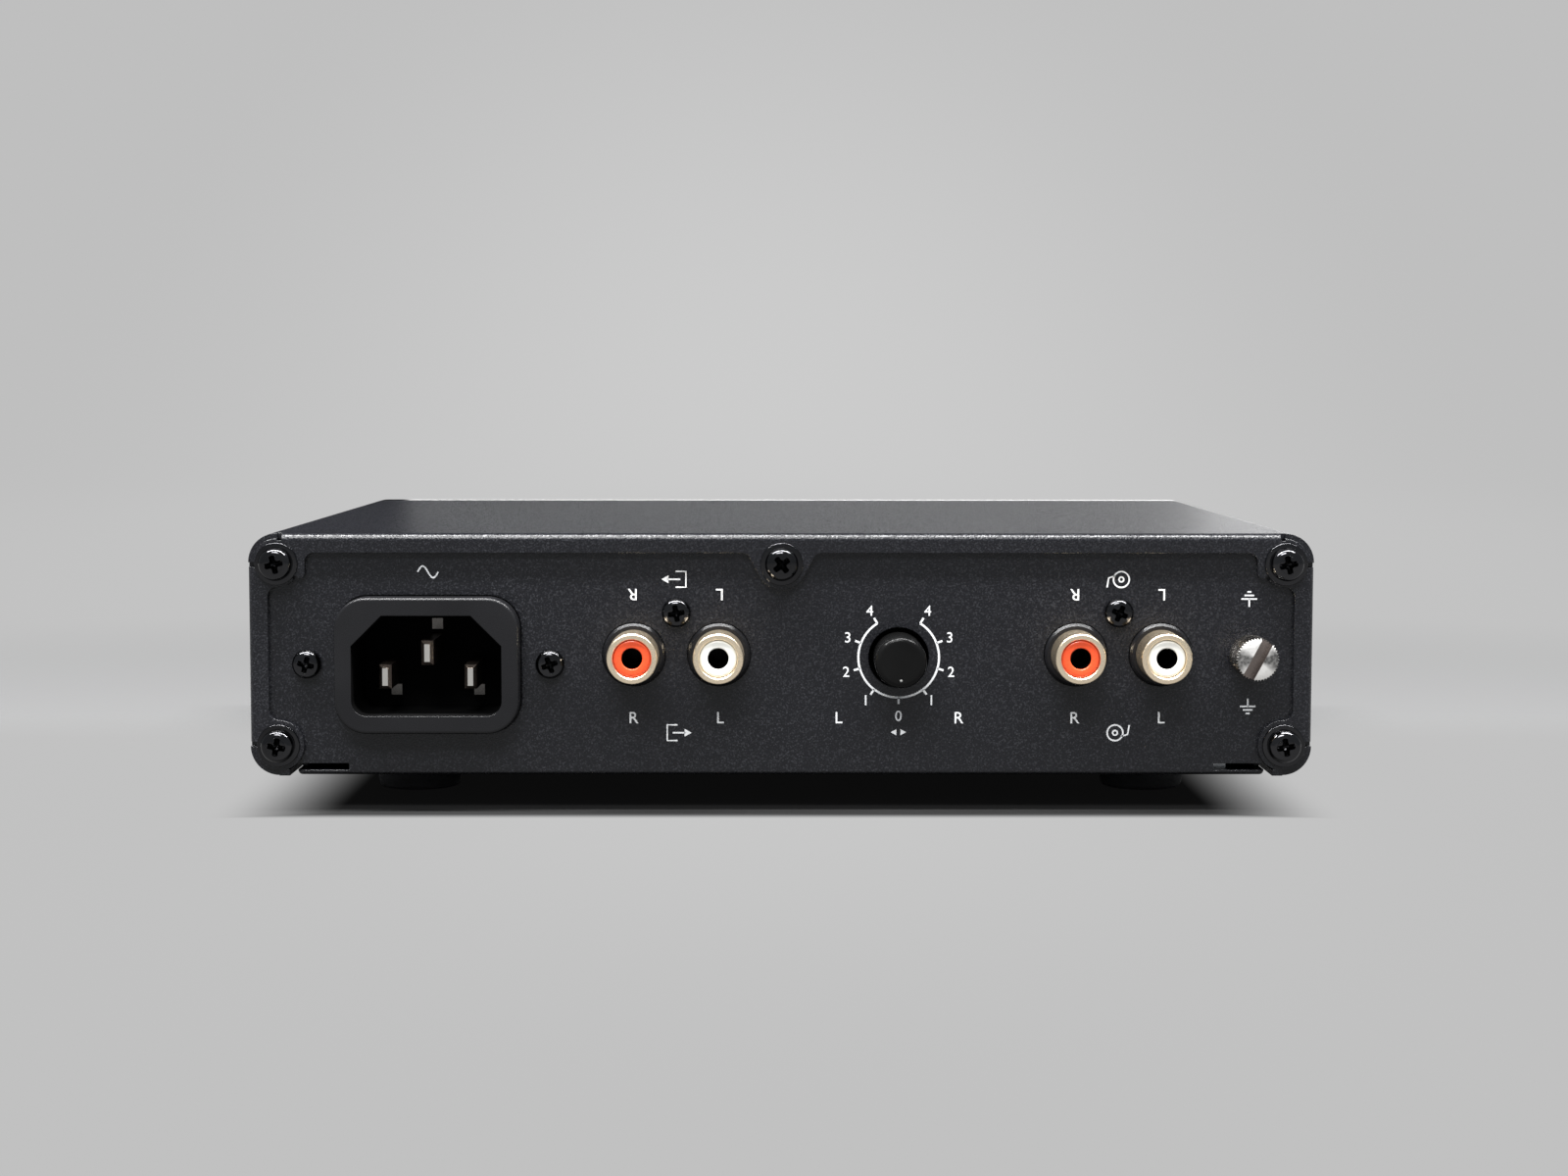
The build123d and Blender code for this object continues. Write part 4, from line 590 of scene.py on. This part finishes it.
def cross_outline(reach, half_width, throat):
    """A Phillips recess along its axis: four round-ended wings with eased inner corners."""
    wing = [(reach * WING_SHOULDER, -half_width), (reach, -half_width * WING_FLAT)]
    wing += [(reach, half_width * WING_FLAT), (reach * WING_SHOULDER, half_width)]
    wing += [(half_width + throat, half_width), (half_width, half_width + throat)]
    points = []
    for turn in range(4):
        cos, sin = math.cos(math.pi / 2 * turn), math.sin(math.pi / 2 * turn)
        points += [(x * cos - y * sin, x * sin + y * cos) for x, y in wing]
    return points


def recess_mesh(name, height, scale):
    """The tapered solid that cuts a Phillips recess, down to its point."""

    def build(form):
        rings = []
        for share, *sizes in RECESS_LEVELS:
            outline = cross_outline(*(size * scale * MM for size in sizes))
            rings.append([form.verts.new((x, share * height, z)) for x, z in outline])
        form.faces.new(rings[0])
        rings.append([form.verts.new((0, RECESS_FLOOR * height, 0))])
        bridge(form, rings)

    return mesh_of(name, build)


def screw_mesh(name, radius, height, length, recess_scale):
    """A pan-head Phillips screw whose head stands on Y = 0."""
    profile = [(out * radius, up * height) for out, up in HEAD_CROWN]
    edge = HEAD_EDGE * height
    reach = HEAD_EDGE_REACH * edge
    for step in range(HEAD_EDGE_STEPS + 1):
        a = math.pi / 2 * step / HEAD_EDGE_STEPS
        up = HEAD_LIP * height - edge + edge * math.cos(a)
        profile.append((radius - reach + reach * math.sin(a), up))
    profile += [(radius, HEAD_FOOT * height), (radius - HEAD_FOOT_REACH * height, 0.0)]
    profile += [(SHANK_RADIUS, 0.0)] + thread_profile(SHANK_START, -length, SHANK_RADIUS)
    head = turned(name, profile + [(0, -length)], steps=72)
    return carved(name, head, recess_mesh(name, height, recess_scale), RECESS_EDGE)


COVER_HEAD = (2.75 * MM, 2.0 * MM)  # radius and height
SMALL_HEAD = (2.4 * MM, 1.8 * MM)
COVER_RECESS_SCALE = 1.0
SMALL_RECESS_SCALE = 0.92
COVER_SCREW_TURNS = (14, 38, 12, -10, 9)  # how far the recesses are turned, in degrees
SMALL_SCREW_TURNS = {"inlet_screws": (-14, 20), "jack_screws": (10, -24)}
WASHER_RADIUS = 3.5 * MM
WASHER_ROUNDING = 0.22 * MM
WASHER_PLAY = 0.15 * MM


def add_screws():
    """The black Phillips screws on the panel, with washers under the larger ones."""
    low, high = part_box("cover_screws")
    radius, height = COVER_HEAD
    seat = high.y - height
    right, left, top, bottom = low.x + radius, high.x - radius, high.z - radius, low.z + radius
    places = [(left, top), ((left + right) / 2, top), (right, top), (left, bottom), (right, bottom)]
    screw = screw_mesh("cover_screw", radius, height, seat - low.y, COVER_RECESS_SCALE)
    screws = [standing(screw, x, seat, z, turn) for (x, z), turn in zip(places, COVER_SCREW_TURNS)]
    set_of("cover_screw_set", screws, "case", "black_screw", "cover_screws")

    low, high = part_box("cover_washers")
    thick = high.y - low.y
    hole = SHANK_RADIUS + WASHER_PLAY
    ring = [(hole, 0), (hole, thick)]
    ring += rounded((WASHER_RADIUS, thick), (hole, thick), (WASHER_RADIUS, 0), WASHER_ROUNDING)
    washer = turned("cover_washer", ring + [(WASHER_RADIUS, 0), (hole, 0)], steps=96)
    washers = [standing(washer, x, low.y, z) for x, z in places]
    set_of("cover_washer_set", washers, "case", "black_screw", "cover_washers")

    radius, height = SMALL_HEAD
    for node, turns in SMALL_SCREW_TURNS.items():
        name = node.removesuffix("s")
        low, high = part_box(node)
        seat = high.y - height
        rise = (low.z + high.z) / 2
        screw = screw_mesh(name, radius, height, seat - low.y, SMALL_RECESS_SCALE)
        places = (high.x - radius, low.x + radius)
        screws = [standing(screw, x, seat, rise, turn) for x, turn in zip(places, turns)]
        set_of(name + "_set", screws, "case", "black_screw", node)


# ---------------------------------------------------------------- knurled ground screw
THUMB_RADIUS = 3.5 * MM
THUMB_LENGTH = 8.0 * MM
THUMB_EDGE = 0.75 * MM
THUMB_SHANK = 1.95 * MM
THUMB_SHANK_DOME = 0.3 * MM
THUMB_SLOT = (1.9 * MM, 2.0 * MM)  # width and depth
THUMB_TURN = -28  # how far the slot is turned, in degrees
KNURL_TEETH = 44
KNURL_COLUMNS = KNURL_TEETH * 6  # vertices round the head
KNURL_ROWS = 60
KNURL_PITCH = 0.5 * MM
KNURL_DEPTH = 0.26 * MM
KNURL_CREST = 1.3  # above 1, the crests have flat tops
KNURL_FADE = 0.4 * MM  # the knurl rises over this length from the head's foot
KNURL_END = THUMB_LENGTH - 0.55 * THUMB_EDGE
FACE_RIM = THUMB_RADIUS - THUMB_EDGE
FACE_LEVELS = (  # radius and height of the head's edge and of its slightly domed face
    (THUMB_RADIUS - 0.35 * THUMB_EDGE, THUMB_LENGTH - 0.25 * THUMB_EDGE),
    (FACE_RIM, THUMB_LENGTH - 0.06 * MM),
    (0.7 * FACE_RIM, THUMB_LENGTH - 0.03 * MM),
    (0.35 * FACE_RIM, THUMB_LENGTH),
)
FACE_DEPTH = 0.5 * THUMB_EDGE  # what lies less deep than this belongs to the face
SLOT_RIM = 0.3 * MM  # the slot's painted shade starts this far in from the face and the flank
SLOT_SIDE_SLACK = 0.01 * MM
SLOT_FLOOR_SLACK = 0.1 * MM


def knurl_radius(turn, y):
    """The head's radius at a share of a turn and a height: two sets of ridges that cross."""
    ridges = 1.0
    for lead in (1, -1):
        phase = (turn * KNURL_TEETH + lead * y / (2 * KNURL_PITCH)) % 1.0
        ridges *= min(1.0, abs(2 * phase - 1) * KNURL_CREST)
    return THUMB_RADIUS - KNURL_DEPTH * (1 - ridges * min(1.0, y / KNURL_FADE))


def fill_thumb_head(form):
    """The head, knurled on its flank."""
    rings = []
    for row in range(KNURL_ROWS + 1):
        y = KNURL_END * row / KNURL_ROWS
        radii = [knurl_radius(column / KNURL_COLUMNS, y) for column in range(KNURL_COLUMNS)]
        rings.append(ring_at(form, y, radii))
    rings += [ring_at(form, y, [radius] * KNURL_COLUMNS) for radius, y in FACE_LEVELS]
    foot, rim = ring_at(form, 0, [THUMB_SHANK] * KNURL_COLUMNS), rings[-1]
    bridge(form, [foot] + rings)
    centre = form.verts.new((0, THUMB_LENGTH, 0))
    base = form.verts.new((0, 0, 0))
    for column in range(KNURL_COLUMNS):
        after = (column + 1) % KNURL_COLUMNS
        form.faces.new((rim[column], rim[after], centre))
        form.faces.new((foot[column], foot[after], base))


def add_ground_screw():
    """The slotted and knurled ground screw."""
    low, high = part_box("ground_screw")
    place = middle("ground_screw")
    seat = high.y - THUMB_LENGTH
    foot = low.y - seat
    width, depth = THUMB_SLOT

    def fill_slot(form):
        bmesh.ops.create_cube(form, size=1.0)
        for vertex in form.verts:  # not by a matrix: its rounding leaves a sliver in the cut
            x, y, z = vertex.co
            vertex.co = (x * width, THUMB_LENGTH + y * 2 * depth, z * 4 * THUMB_RADIUS)

    def in_slot(face):
        between = abs(face.center.x) < width / 2 + SLOT_SIDE_SLACK
        deep = SLOT_RIM < THUMB_LENGTH - face.center.y < depth + SLOT_FLOOR_SLACK
        return between and deep and from_axis(face) < THUMB_RADIUS - SLOT_RIM

    name = "ground_screw_head"
    head = carved(name, mesh_of(name, fill_thumb_head), mesh_of("slot", fill_slot))
    # painted shade on the knurled flank and in the slot, and the painted reflection on the face
    paint_faces(head, 3, lambda face: from_axis(face) > THUMB_SHANK)
    paint_faces(head, 1, lambda face: THUMB_LENGTH - face.center.y < FACE_DEPTH)
    paint_faces(head, 2, in_slot)
    profile = [(0, 0.0), (THUMB_SHANK - THUMB_SHANK_DOME, 0.0)]
    profile += thread_profile(0.0, foot, THUMB_SHANK) + [(0, foot)]
    shank = turned("shank", profile, steps=48)
    meshes = [standing(mesh, place.x, seat, place.z, THUMB_TURN) for mesh in (head, shank)]
    set_of("ground_thumb_screw", meshes, "terminal_screw", "nickel", "ground_screw",
           "turned_face", "slot_metal", "knurl_metal")


# ---------------------------------------------------------------- jack insulators, knob pointer
INSULATOR_RADIUS = 3.07 * MM
INSULATOR_ROUNDING = 0.5 * MM
CONTACT_RADIUS = 2.23 * MM  # the wide rear part of the hole, which holds the contact
CONTACT_DEPTH = 6.4 * MM
BORE_RADIUS = 1.7 * MM
BORE_ROUNDING = 0.22 * MM
BORE_START = 0.6 * MM  # the bore is straight from this depth on
BORE_SHADE_DEPTH = 0.3 * MM  # and has its painted shade from this depth on
BORE_SLACK = 0.02 * MM


def add_insulators():
    """The coloured insulators in the jacks: a rounded rim and an eased hole, painted shade inside.
    """
    for colour in ("red", "white"):
        node = f"{colour}_jack_insulators"
        low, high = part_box(node)
        front, back = high.y, low.y
        step = front - CONTACT_DEPTH
        inner, outer = (BORE_RADIUS, front), (INSULATOR_RADIUS, front)
        profile = [(CONTACT_RADIUS, back), (CONTACT_RADIUS, step)]
        profile += [(BORE_RADIUS, step), (BORE_RADIUS, front - BORE_START)]
        profile += rounded(inner, (BORE_RADIUS, back), outer, BORE_ROUNDING)
        profile += rounded(outer, inner, (INSULATOR_RADIUS, back), INSULATOR_ROUNDING)
        profile += [(INSULATOR_RADIUS, back), (CONTACT_RADIUS, back)]
        ring = turned(node, profile, steps=96)
        # painted shade on the bore's wall below its rim
        paint_faces(ring, 1, lambda face: from_axis(face) < BORE_RADIUS + BORE_SLACK
                    and face.center.y < front - BORE_SHADE_DEPTH)
        reach = (high.z - low.z) / 2
        rise = (low.z + high.z) / 2
        rings = [standing(ring, x, 0, rise) for x in (low.x + reach, high.x - reach)]
        set_of(f"{colour}_insulator_set", rings, "case", f"insulator_{colour}", node, "bore_shade")


POINTER_OFFSET = 2.9 * MM
POINTER_RADIUS = 0.22 * MM
POINTER_LEVELS = (  # share of the dot's radius, and depth under the knob's face in mm
    (0, 0.25), (1, 0.25), (1, 0.05), (0.7, 0.02), (0, 0.015))


def add_pointer():
    """The pale dot that marks where the knob points."""
    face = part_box("balance_knob")[1].y
    profile = [(share * POINTER_RADIUS, face - depth * MM) for share, depth in POINTER_LEVELS]
    centre = (dial_centre.x, dial_centre.z - POINTER_OFFSET)
    mesh = turned("knob_pointer", profile, steps=32, centre=centre)
    sharpen(mesh)
    new_piece("knob_pointer", mesh, "balance", "insulator_white", "pointer_ink")


# ---------------------------------------------------------------- print on the panel
INK_LIFT = 0.012 * MM
INK_THICKNESS = 0.02 * MM
CAP_SHARE = 0.72  # height of a capital letter, as a share of the font's size
LETTER_WEIGHT = 0.012 * MM  # how far each outline is moved outwards
LETTER_STEPS = 6
LETTER_HEIGHT = 1.95 * MM
DIGIT_HEIGHT = 1.75 * MM
DIAL_LINE = 0.34 * MM
SIGN_LINE = 0.26 * MM


def on_panel(across, rise):
    """A point on the panel's face."""
    return Vector((-across, panel_y + INK_LIFT, case_bottom + rise))


def print_shapes(name, outlines):
    """Ink in the shape of flat outlines, each a list of (across, rise) points."""

    def build(form):
        for outline in outlines:
            face = form.faces.new([form.verts.new(on_panel(*point)) for point in outline])
            for item in bmesh.ops.extrude_face_region(form, geom=[face])["geom"]:
                if isinstance(item, bmesh.types.BMVert):
                    item.co.y += INK_THICKNESS

    new_piece(name, mesh_of(name, build), "case", "insulator_white", "panel_ink")


def print_text(name, marks):
    """Ink letters from marks of (text, (across, rise), height, whether it is upside down)."""
    facing = Matrix.Rotation(math.pi, 4, "Z") @ Matrix.Rotation(math.pi / 2, 4, "X")
    lift = Vector((0, INK_THICKNESS / 2, 0))
    letters = []
    for text, place, height, is_turned in marks:
        curve = bpy.data.curves.new(name, "FONT")
        curve.body = text
        curve.align_x = "CENTER"
        curve.align_y = "CENTER"
        curve.size = height / CAP_SHARE
        curve.extrude = INK_THICKNESS / 2
        curve.offset = LETTER_WEIGHT
        curve.resolution_u = LETTER_STEPS
        holder = linked(name, curve)
        mesh = evaluated(holder)
        bpy.data.objects.remove(holder)
        spin = Matrix.Rotation(math.pi if is_turned else 0.0, 4, "Z")
        mesh.transform(Matrix.Translation(on_panel(*place) + lift) @ facing @ spin)
        letters.append(mesh)
    new_piece(name, merged(name, letters), "case", "insulator_white", "panel_ink")


def stroke(points, width):
    """Outlines that follow a line of points, one for each run, which share their ends."""
    points = [Vector(point) for point in points]
    sides = []
    for index in range(len(points)):
        before = points[max(index - 1, 0)]
        after = points[min(index + 1, len(points) - 1)]
        run = (after - before).normalized()
        sides.append(Vector((-run.y, run.x)) * width / 2)
    ends = list(zip(points, sides))
    return [[tuple(point) for point in (a - side_a, b - side_b, b + side_b, a + side_a)]
            for (a, side_a), (b, side_b) in zip(ends, ends[1:])]


def from_centre(centre, radius, degrees):
    """A point at a radius and an angle, clockwise from straight down as seen from behind."""
    a = math.radians(degrees)
    return centre[0] - radius * math.sin(a), centre[1] - radius * math.cos(a)


def arc(centre, radius, start, end, steps):
    """Points along a circular line, between two angles in degrees."""
    angles = [start + (end - start) * step / steps for step in range(steps + 1)]
    return [from_centre(centre, radius, angle) for angle in angles]


DIAL_RADIUS = 6.65 * MM
DIAL_STEPS = 96
TICK_LENGTH = 1.05 * MM
TICK_STEP = 37  # degrees
DIAL_TICKS = 4
DIGIT_RADIUS = 9.0 * MM
ZERO_DROP = 9.8 * MM
BALANCE_LETTER_OFFSET = 9.9 * MM
JACK_LETTER_OFFSET = 7.15 * MM
LOWER_LETTER_RISE = 9.4 * MM
UPPER_LETTER_RISE = 30.0 * MM


def print_dial():
    """The balance control's scale, its digits and the letters of its two ends."""
    across, rise = -dial_centre.x, dial_centre.z - case_bottom
    centre = (across, rise)
    end = DIAL_TICKS * TICK_STEP
    scale = stroke(arc(centre, DIAL_RADIUS, -end, end, DIAL_STEPS), DIAL_LINE)
    marks = [("0", (across, rise - ZERO_DROP), DIGIT_HEIGHT, False)]
    for count in range(-DIAL_TICKS, DIAL_TICKS + 1):
        angle = count * TICK_STEP
        tick = [from_centre(centre, DIAL_RADIUS + out, angle) for out in (0, TICK_LENGTH)]
        scale += stroke(tick, DIAL_LINE)
        if count:
            place = from_centre(centre, DIGIT_RADIUS, angle)
            marks.append((str(abs(count)), place, DIGIT_HEIGHT, False))
    for letter, side in (("L", -1), ("R", 1)):
        place = (across + side * BALANCE_LETTER_OFFSET, LOWER_LETTER_RISE)
        marks.append((letter, place, LETTER_HEIGHT, False))
    print_shapes("balance_scale", scale)
    print_text("balance_numbers", marks)


def print_channels():
    """The channel letters under and, upside down, over each pair of jacks."""
    marks = []
    for pair in ("output_jack_shells", "phono_jack_shells"):
        for letter, side in (("R", -1), ("L", 1)):
            across = -middle(pair).x + side * JACK_LETTER_OFFSET
            for rise, is_turned in ((LOWER_LETTER_RISE, False), (UPPER_LETTER_RISE, True)):
                marks.append((letter, (across, rise), LETTER_HEIGHT, is_turned))
    print_text("channel_letters", marks)


RECORD_CENTRE = (-0.3, 0)
WAVE_STEPS = 24
WAVE_HEIGHT = 0.56
SIGN_LINES = {  # in halves of a sign's size
    "output": [[(0.1, 1), (-1.2, 1), (-1.2, -1), (0.1, -1)], [(-0.5, 0), (1.1, 0)]],
    "record": [arc(RECORD_CENTRE, 1, 0, 360, steps=40), arc(RECORD_CENTRE, 0.3, 0, 360, steps=24),
               [(1.5, 1.0), (1.3, -0.2), (0.5, -0.45)]],
    "earth": [[(0, 1), (0, 0)], [(-1, 0), (1, 0)], [(-0.62, -0.45), (0.62, -0.45)],
              [(-0.25, -0.9), (0.25, -0.9)]],
    "wave": [[(2 * step / WAVE_STEPS - 1, WAVE_HEIGHT * math.sin(math.tau * step / WAVE_STEPS))
              for step in range(WAVE_STEPS + 1)]],
}
SIGN_FILLS = {
    "output": [[(1.0, -0.5), (1.9, 0), (1.0, 0.5)]],
    "balance": [[(side * 0.4, -0.6), (side * 1.5, 0), (side * 0.4, 0.6)] for side in (-1, 1)],
}
SIGN_PLACES = (  # sign, the node it stands at, size and rise in mm, and whether it is upside down
    ("output", "output_jack_shells", 2.6, 7.0, False),
    ("output", "output_jack_shells", 2.6, 32.4, True),
    ("record", "phono_jack_shells", 2.6, 7.0, False),
    ("record", "phono_jack_shells", 2.6, 32.4, True),
    ("earth", "ground_screw", 2.6, 11.4, False),
    ("earth", "ground_screw", 2.6, 29.2, True),
    ("balance", "balance_knob", 1.7, 7.1, False),
    ("wave", "inlet_body", 3.4, 33.6, False),
)


def sized(shapes, half):
    """Shapes given in halves of a size, at that size."""
    return [[(x * half, y * half) for x, y in points] for points in shapes]


def print_signs():
    """Plain signs for what each connector does.

    A box that an arrow leaves, a record with its tonearm, the earth sign, two arrowheads that
    point apart, and one wave for alternating current.
    """
    shapes = []
    for sign, node, size, rise, is_turned in SIGN_PLACES:
        half = size / 2 * MM
        outlines = []
        for line in sized(SIGN_LINES.get(sign, ()), half):
            outlines += stroke(line, SIGN_LINE)
        outlines += sized(SIGN_FILLS.get(sign, ()), half)
        across = -middle(node).x
        way = -1 if is_turned else 1
        shapes += [[(across + way * x, rise * MM + way * y) for x, y in outline]
                   for outline in outlines]
    print_shapes("connector_symbols", shapes)


# ---------------------------------------------------------------- camera
SENSOR_WIDTH_MM = 36.0
LENS_MM = 60.84
NEAREST = 0.01
CAMERA_X = 1.87 * MM
CAMERA_RISE = 64.46 * MM
CAMERA_DISTANCE = 433.48 * MM  # behind the cover's rear edge
CAMERA_PITCH = 0.07692  # radians
CAMERA_YAW = 0.00521
CAMERA_ROLL = 0.00093


def add_camera():
    """The camera stands behind the object and looks along -Y, slightly down."""
    data = bpy.data.cameras.new("camera")
    data.sensor_width = SENSOR_WIDTH_MM
    data.lens = LENS_MM
    data.clip_start = NEAREST
    camera = linked("camera", data)
    place = (CAMERA_X, cover_y + CAMERA_DISTANCE, case_bottom + CAMERA_RISE)
    heading = Matrix.Rotation(math.pi - CAMERA_YAW, 4, "Z")
    tilt = Matrix.Rotation(math.pi / 2 - CAMERA_PITCH, 4, "X")
    roll = Matrix.Rotation(CAMERA_ROLL, 4, "Z")
    camera.matrix_world = Matrix.Translation(place) @ heading @ tilt @ roll
    scene.camera = camera


# ---------------------------------------------------------------- stage
SURROUND = 0.521  # linear grey of the paper around the object, as the camera and mirrors see it
# painted pools of light: the even grey is paler at these two places
GLOWS = (  # gain in grey, place, how much each axis counts towards the distance, and reach
    (0.036, (0, panel_y, 0), (1.6, 1, 1), 0.19),  # the floor at the connector panel's foot
    (0.085, (0, -2.1, 0.04), (1, 0.2, 1), 0.62),  # the backdrop, low behind the object
)
BACK_FALLOFF = (0.62, 0.97)  # share of the backdrop that mirrors don't see, at its two sides
BACK_SIDES = (-0.55, 0.45)  # those two sides' x
BACK_START = (-0.9, -0.5)  # mirrors see all that stands nearer than the second y
FLOOR_TONE = 0.135  # colour of the lit floor beside the object
PAINTED_SHADOW_TONE = 0.018  # painted shadow: the floor's colour under the rear part of the case
PAINTED_SHADOW_FRONT = (-30 * MM, 10 * MM)  # y over which that part starts
PAINTED_SHADOW_SIDE = (82 * MM, 104 * MM)  # and distance to each side over which it ends
LIT_REACH = (0.12, 0.34)  # distances over which the lit floor turns into even grey
LIT_STRETCH = (0.75, 1, 1)
SHADOW_EDGE = (3.1 * MM, 8.1 * MM)  # the same behind the connector panel
SHADOW_SIDE = (71 * MM, 94 * MM)  # and to each side
SHADOW_SIDE_START = (-75 * MM, -25 * MM)  # y over which it starts at the sides
SHADOW_SHIFT = 1 * MM
SHADOW_HAZE = 0.006  # the least share of even grey in the shadow


class Stage(Finish):
    """Pale paper: lit and shadowed near the object, and an even grey away from it."""

    def ramp(self, source, span, to_low=0.0, to_high=1.0):
        """An eased spread."""
        return self.spread(source, *span, to_low, to_high, "SMOOTHSTEP")

    def away_from(self, centre, stretch, span):
        """Rises from 0 to 1 over a span of distances from a point, on stretched axes."""
        vector = self.place
        for operation, value in (("SUBTRACT", centre), ("MULTIPLY", stretch)):
            made = self.node("ShaderNodeVectorMath", {0: vector}, operation=operation)
            made.inputs[1].default_value = value
            vector = made.outputs["Vector"]
        length = self.node("ShaderNodeVectorMath", {0: vector}, operation="LENGTH")
        return self.ramp(length.outputs["Value"], span)

    def evenness(self, x, y):
        """0 where the floor is lit and takes the shadow, and 1 where it is an even grey."""
        sides = self.compute("MULTIPLY", self.ramp(x, SHADOW_SIDE), self.ramp(y, SHADOW_SIDE_START))
        behind = self.ramp(y, [panel_y + distance for distance in SHADOW_EDGE])
        far = self.away_from((0, 0, 0), LIT_STRETCH, LIT_REACH)
        edges = self.compute("MAXIMUM", behind, sides)
        return self.compute("MAXIMUM", edges, self.compute("MAXIMUM", far, SHADOW_HAZE))

    def glow(self, path, x, y):
        """The even grey's strength: painted pools of light in two places, and dimmer in mirrors."""
        level = SURROUND
        for gain, place, stretch, reach in GLOWS:
            fade = self.compute("MULTIPLY", self.away_from(place, stretch, (0.0, reach)), gain)
            level = self.compute("ADD", level, self.compute("SUBTRACT", gain, fade))
        dim = self.ramp(x, BACK_SIDES, *BACK_FALLOFF)
        dim = self.compute("MULTIPLY", dim, path["Is Glossy Ray"])
        dim = self.compute("MULTIPLY", dim, self.ramp(y, BACK_START, 1.0, 0.0))
        return self.compute("MULTIPLY", level, self.compute("SUBTRACT", 1.0, dim))


def paper():
    """The stage's material, with a painted shadow under the rear part of the case.

    Only the camera, mirrors and glass see the even grey, so no light from it falls on the object.
    """
    stage = Stage("backdrop", Roughness=0.9, Specular_IOR_Level=0.0)
    path = stage.node("ShaderNodeLightPath").outputs
    axes = stage.node("ShaderNodeSeparateXYZ", {"Vector": stage.place}).outputs
    x = stage.compute("ABSOLUTE", stage.compute("SUBTRACT", axes["X"], SHADOW_SHIFT))
    y = axes["Y"]

    # painted shadow: the floor's colour turns dark under the rear part of the case
    beside = stage.ramp(x, PAINTED_SHADOW_SIDE, 1.0, 0.0)
    near = stage.compute("MULTIPLY", stage.ramp(y, PAINTED_SHADOW_FRONT), beside)
    stage.colour(stage.blend(near, (FLOOR_TONE,) * 3, (PAINTED_SHADOW_TONE,) * 3))

    seen = stage.compute("MAXIMUM", path["Is Camera Ray"], path["Is Glossy Ray"])
    seen = stage.compute("MAXIMUM", seen, path["Is Transmission Ray"])
    share = stage.compute("MULTIPLY", stage.evenness(x, y), seen)
    shine = stage.node("ShaderNodeEmission", {"Strength": stage.glow(path, axes["X"], y)})
    mixed = stage.node("ShaderNodeMixShader", {
        0: share, 1: stage.shader.outputs["BSDF"], 2: shine.outputs["Emission"]})
    stage.link(mixed.outputs["Shader"], stage.tree.nodes["Material Output"].inputs["Surface"])
    return stage.material


STAGE_HALF_WIDTH = 3.0
STAGE_NEAR = 3.0
STAGE_FAR = -2.2
STAGE_HEIGHT = 3.0
STAGE_BEND = 0.9
STAGE_BEND_STEPS = 24


def add_stage():
    """A pale floor that runs up into a backdrop."""
    start = STAGE_FAR + STAGE_BEND
    profile = [(STAGE_NEAR, 0.0), (start, 0.0)]
    for step in range(1, STAGE_BEND_STEPS + 1):
        turn = math.pi / 2 * step / STAGE_BEND_STEPS
        profile.append((start - STAGE_BEND * math.sin(turn), STAGE_BEND * (1 - math.cos(turn))))
    profile.append((STAGE_FAR, STAGE_HEIGHT))

    def build(form):
        sides = (-STAGE_HALF_WIDTH, STAGE_HALF_WIDTH)
        rows = [[form.verts.new((x, y, z)) for x in sides] for y, z in profile]
        for low, high in zip(rows, rows[1:]):
            form.faces.new((low[0], low[1], high[1], high[0])).smooth = True

    mesh = mesh_of("floor", build)
    mesh.materials.append(paper())
    floor = linked("floor", mesh)


# ---------------------------------------------------------------- light
WORLD_LIGHT = ((0.90, 0.95, 1.0), 0.38)  # tone and strength of what falls on the object
WORLD_SEEN = ((1.0, 1.0, 1.0), SURROUND)  # and of what the camera sees
AIM_RISE = 20 * MM
LAMPS = {  # place, size and power in watts
    "overhead": ((0.0, 0.24, 0.88), (1.5, 0.07), 44.0),
    "front": ((0.2, 1.1, 1.15), (0.6, 0.34), 17.5),
    "backlight": ((-0.75, -1.25, 0.24), (1.0, 0.42), 1.5),
    "rim": ((-0.36, -1.25, 0.085), (1.3, 0.06), 0.58),
}
IN_VIEW = ("backlight", "rim")  # these stand in the camera's view, so it doesn't see them


def add_world():
    """Soft light from all round, which the camera sees as the backdrop's grey."""
    world = bpy.data.worlds.new("studio")
    scene.world = world
    world.use_nodes = True
    tree = world.node_tree
    tree.nodes.clear()
    out = tree.nodes.new("ShaderNodeOutputWorld")
    mixed = tree.nodes.new("ShaderNodeMixShader")
    path = tree.nodes.new("ShaderNodeLightPath")
    for socket, (tone, strength) in enumerate((WORLD_LIGHT, WORLD_SEEN), 1):
        made = tree.nodes.new("ShaderNodeBackground")
        made.inputs["Color"].default_value = (*tone, 1.0)
        made.inputs["Strength"].default_value = strength
        tree.links.new(made.outputs["Background"], mixed.inputs[socket])
    tree.links.new(path.outputs["Is Camera Ray"], mixed.inputs[0])
    tree.links.new(mixed.outputs["Shader"], out.inputs["Surface"])


def add_lamps():
    """Rectangular softboxes aimed at the middle of the case."""
    target = Vector((0.0, 0.0, case_bottom + AIM_RISE))
    for name, (place, size, power) in LAMPS.items():
        data = bpy.data.lights.new(name, "AREA")
        data.shape = "RECTANGLE"
        data.size, data.size_y = size
        data.energy = power
        lamp = linked(name, data)
        lamp.location = place
        lamp.rotation_euler = (target - Vector(place)).to_track_quat("-Z", "Y").to_euler()
        lamp.visible_camera = name not in IN_VIEW


paint_nodes()
add_screws()
add_ground_screw()
add_insulators()
add_pointer()
print_dial()
print_channels()
print_signs()
add_camera()
add_world()
add_stage()
add_lamps()

scene.view_settings.view_transform = "Standard"
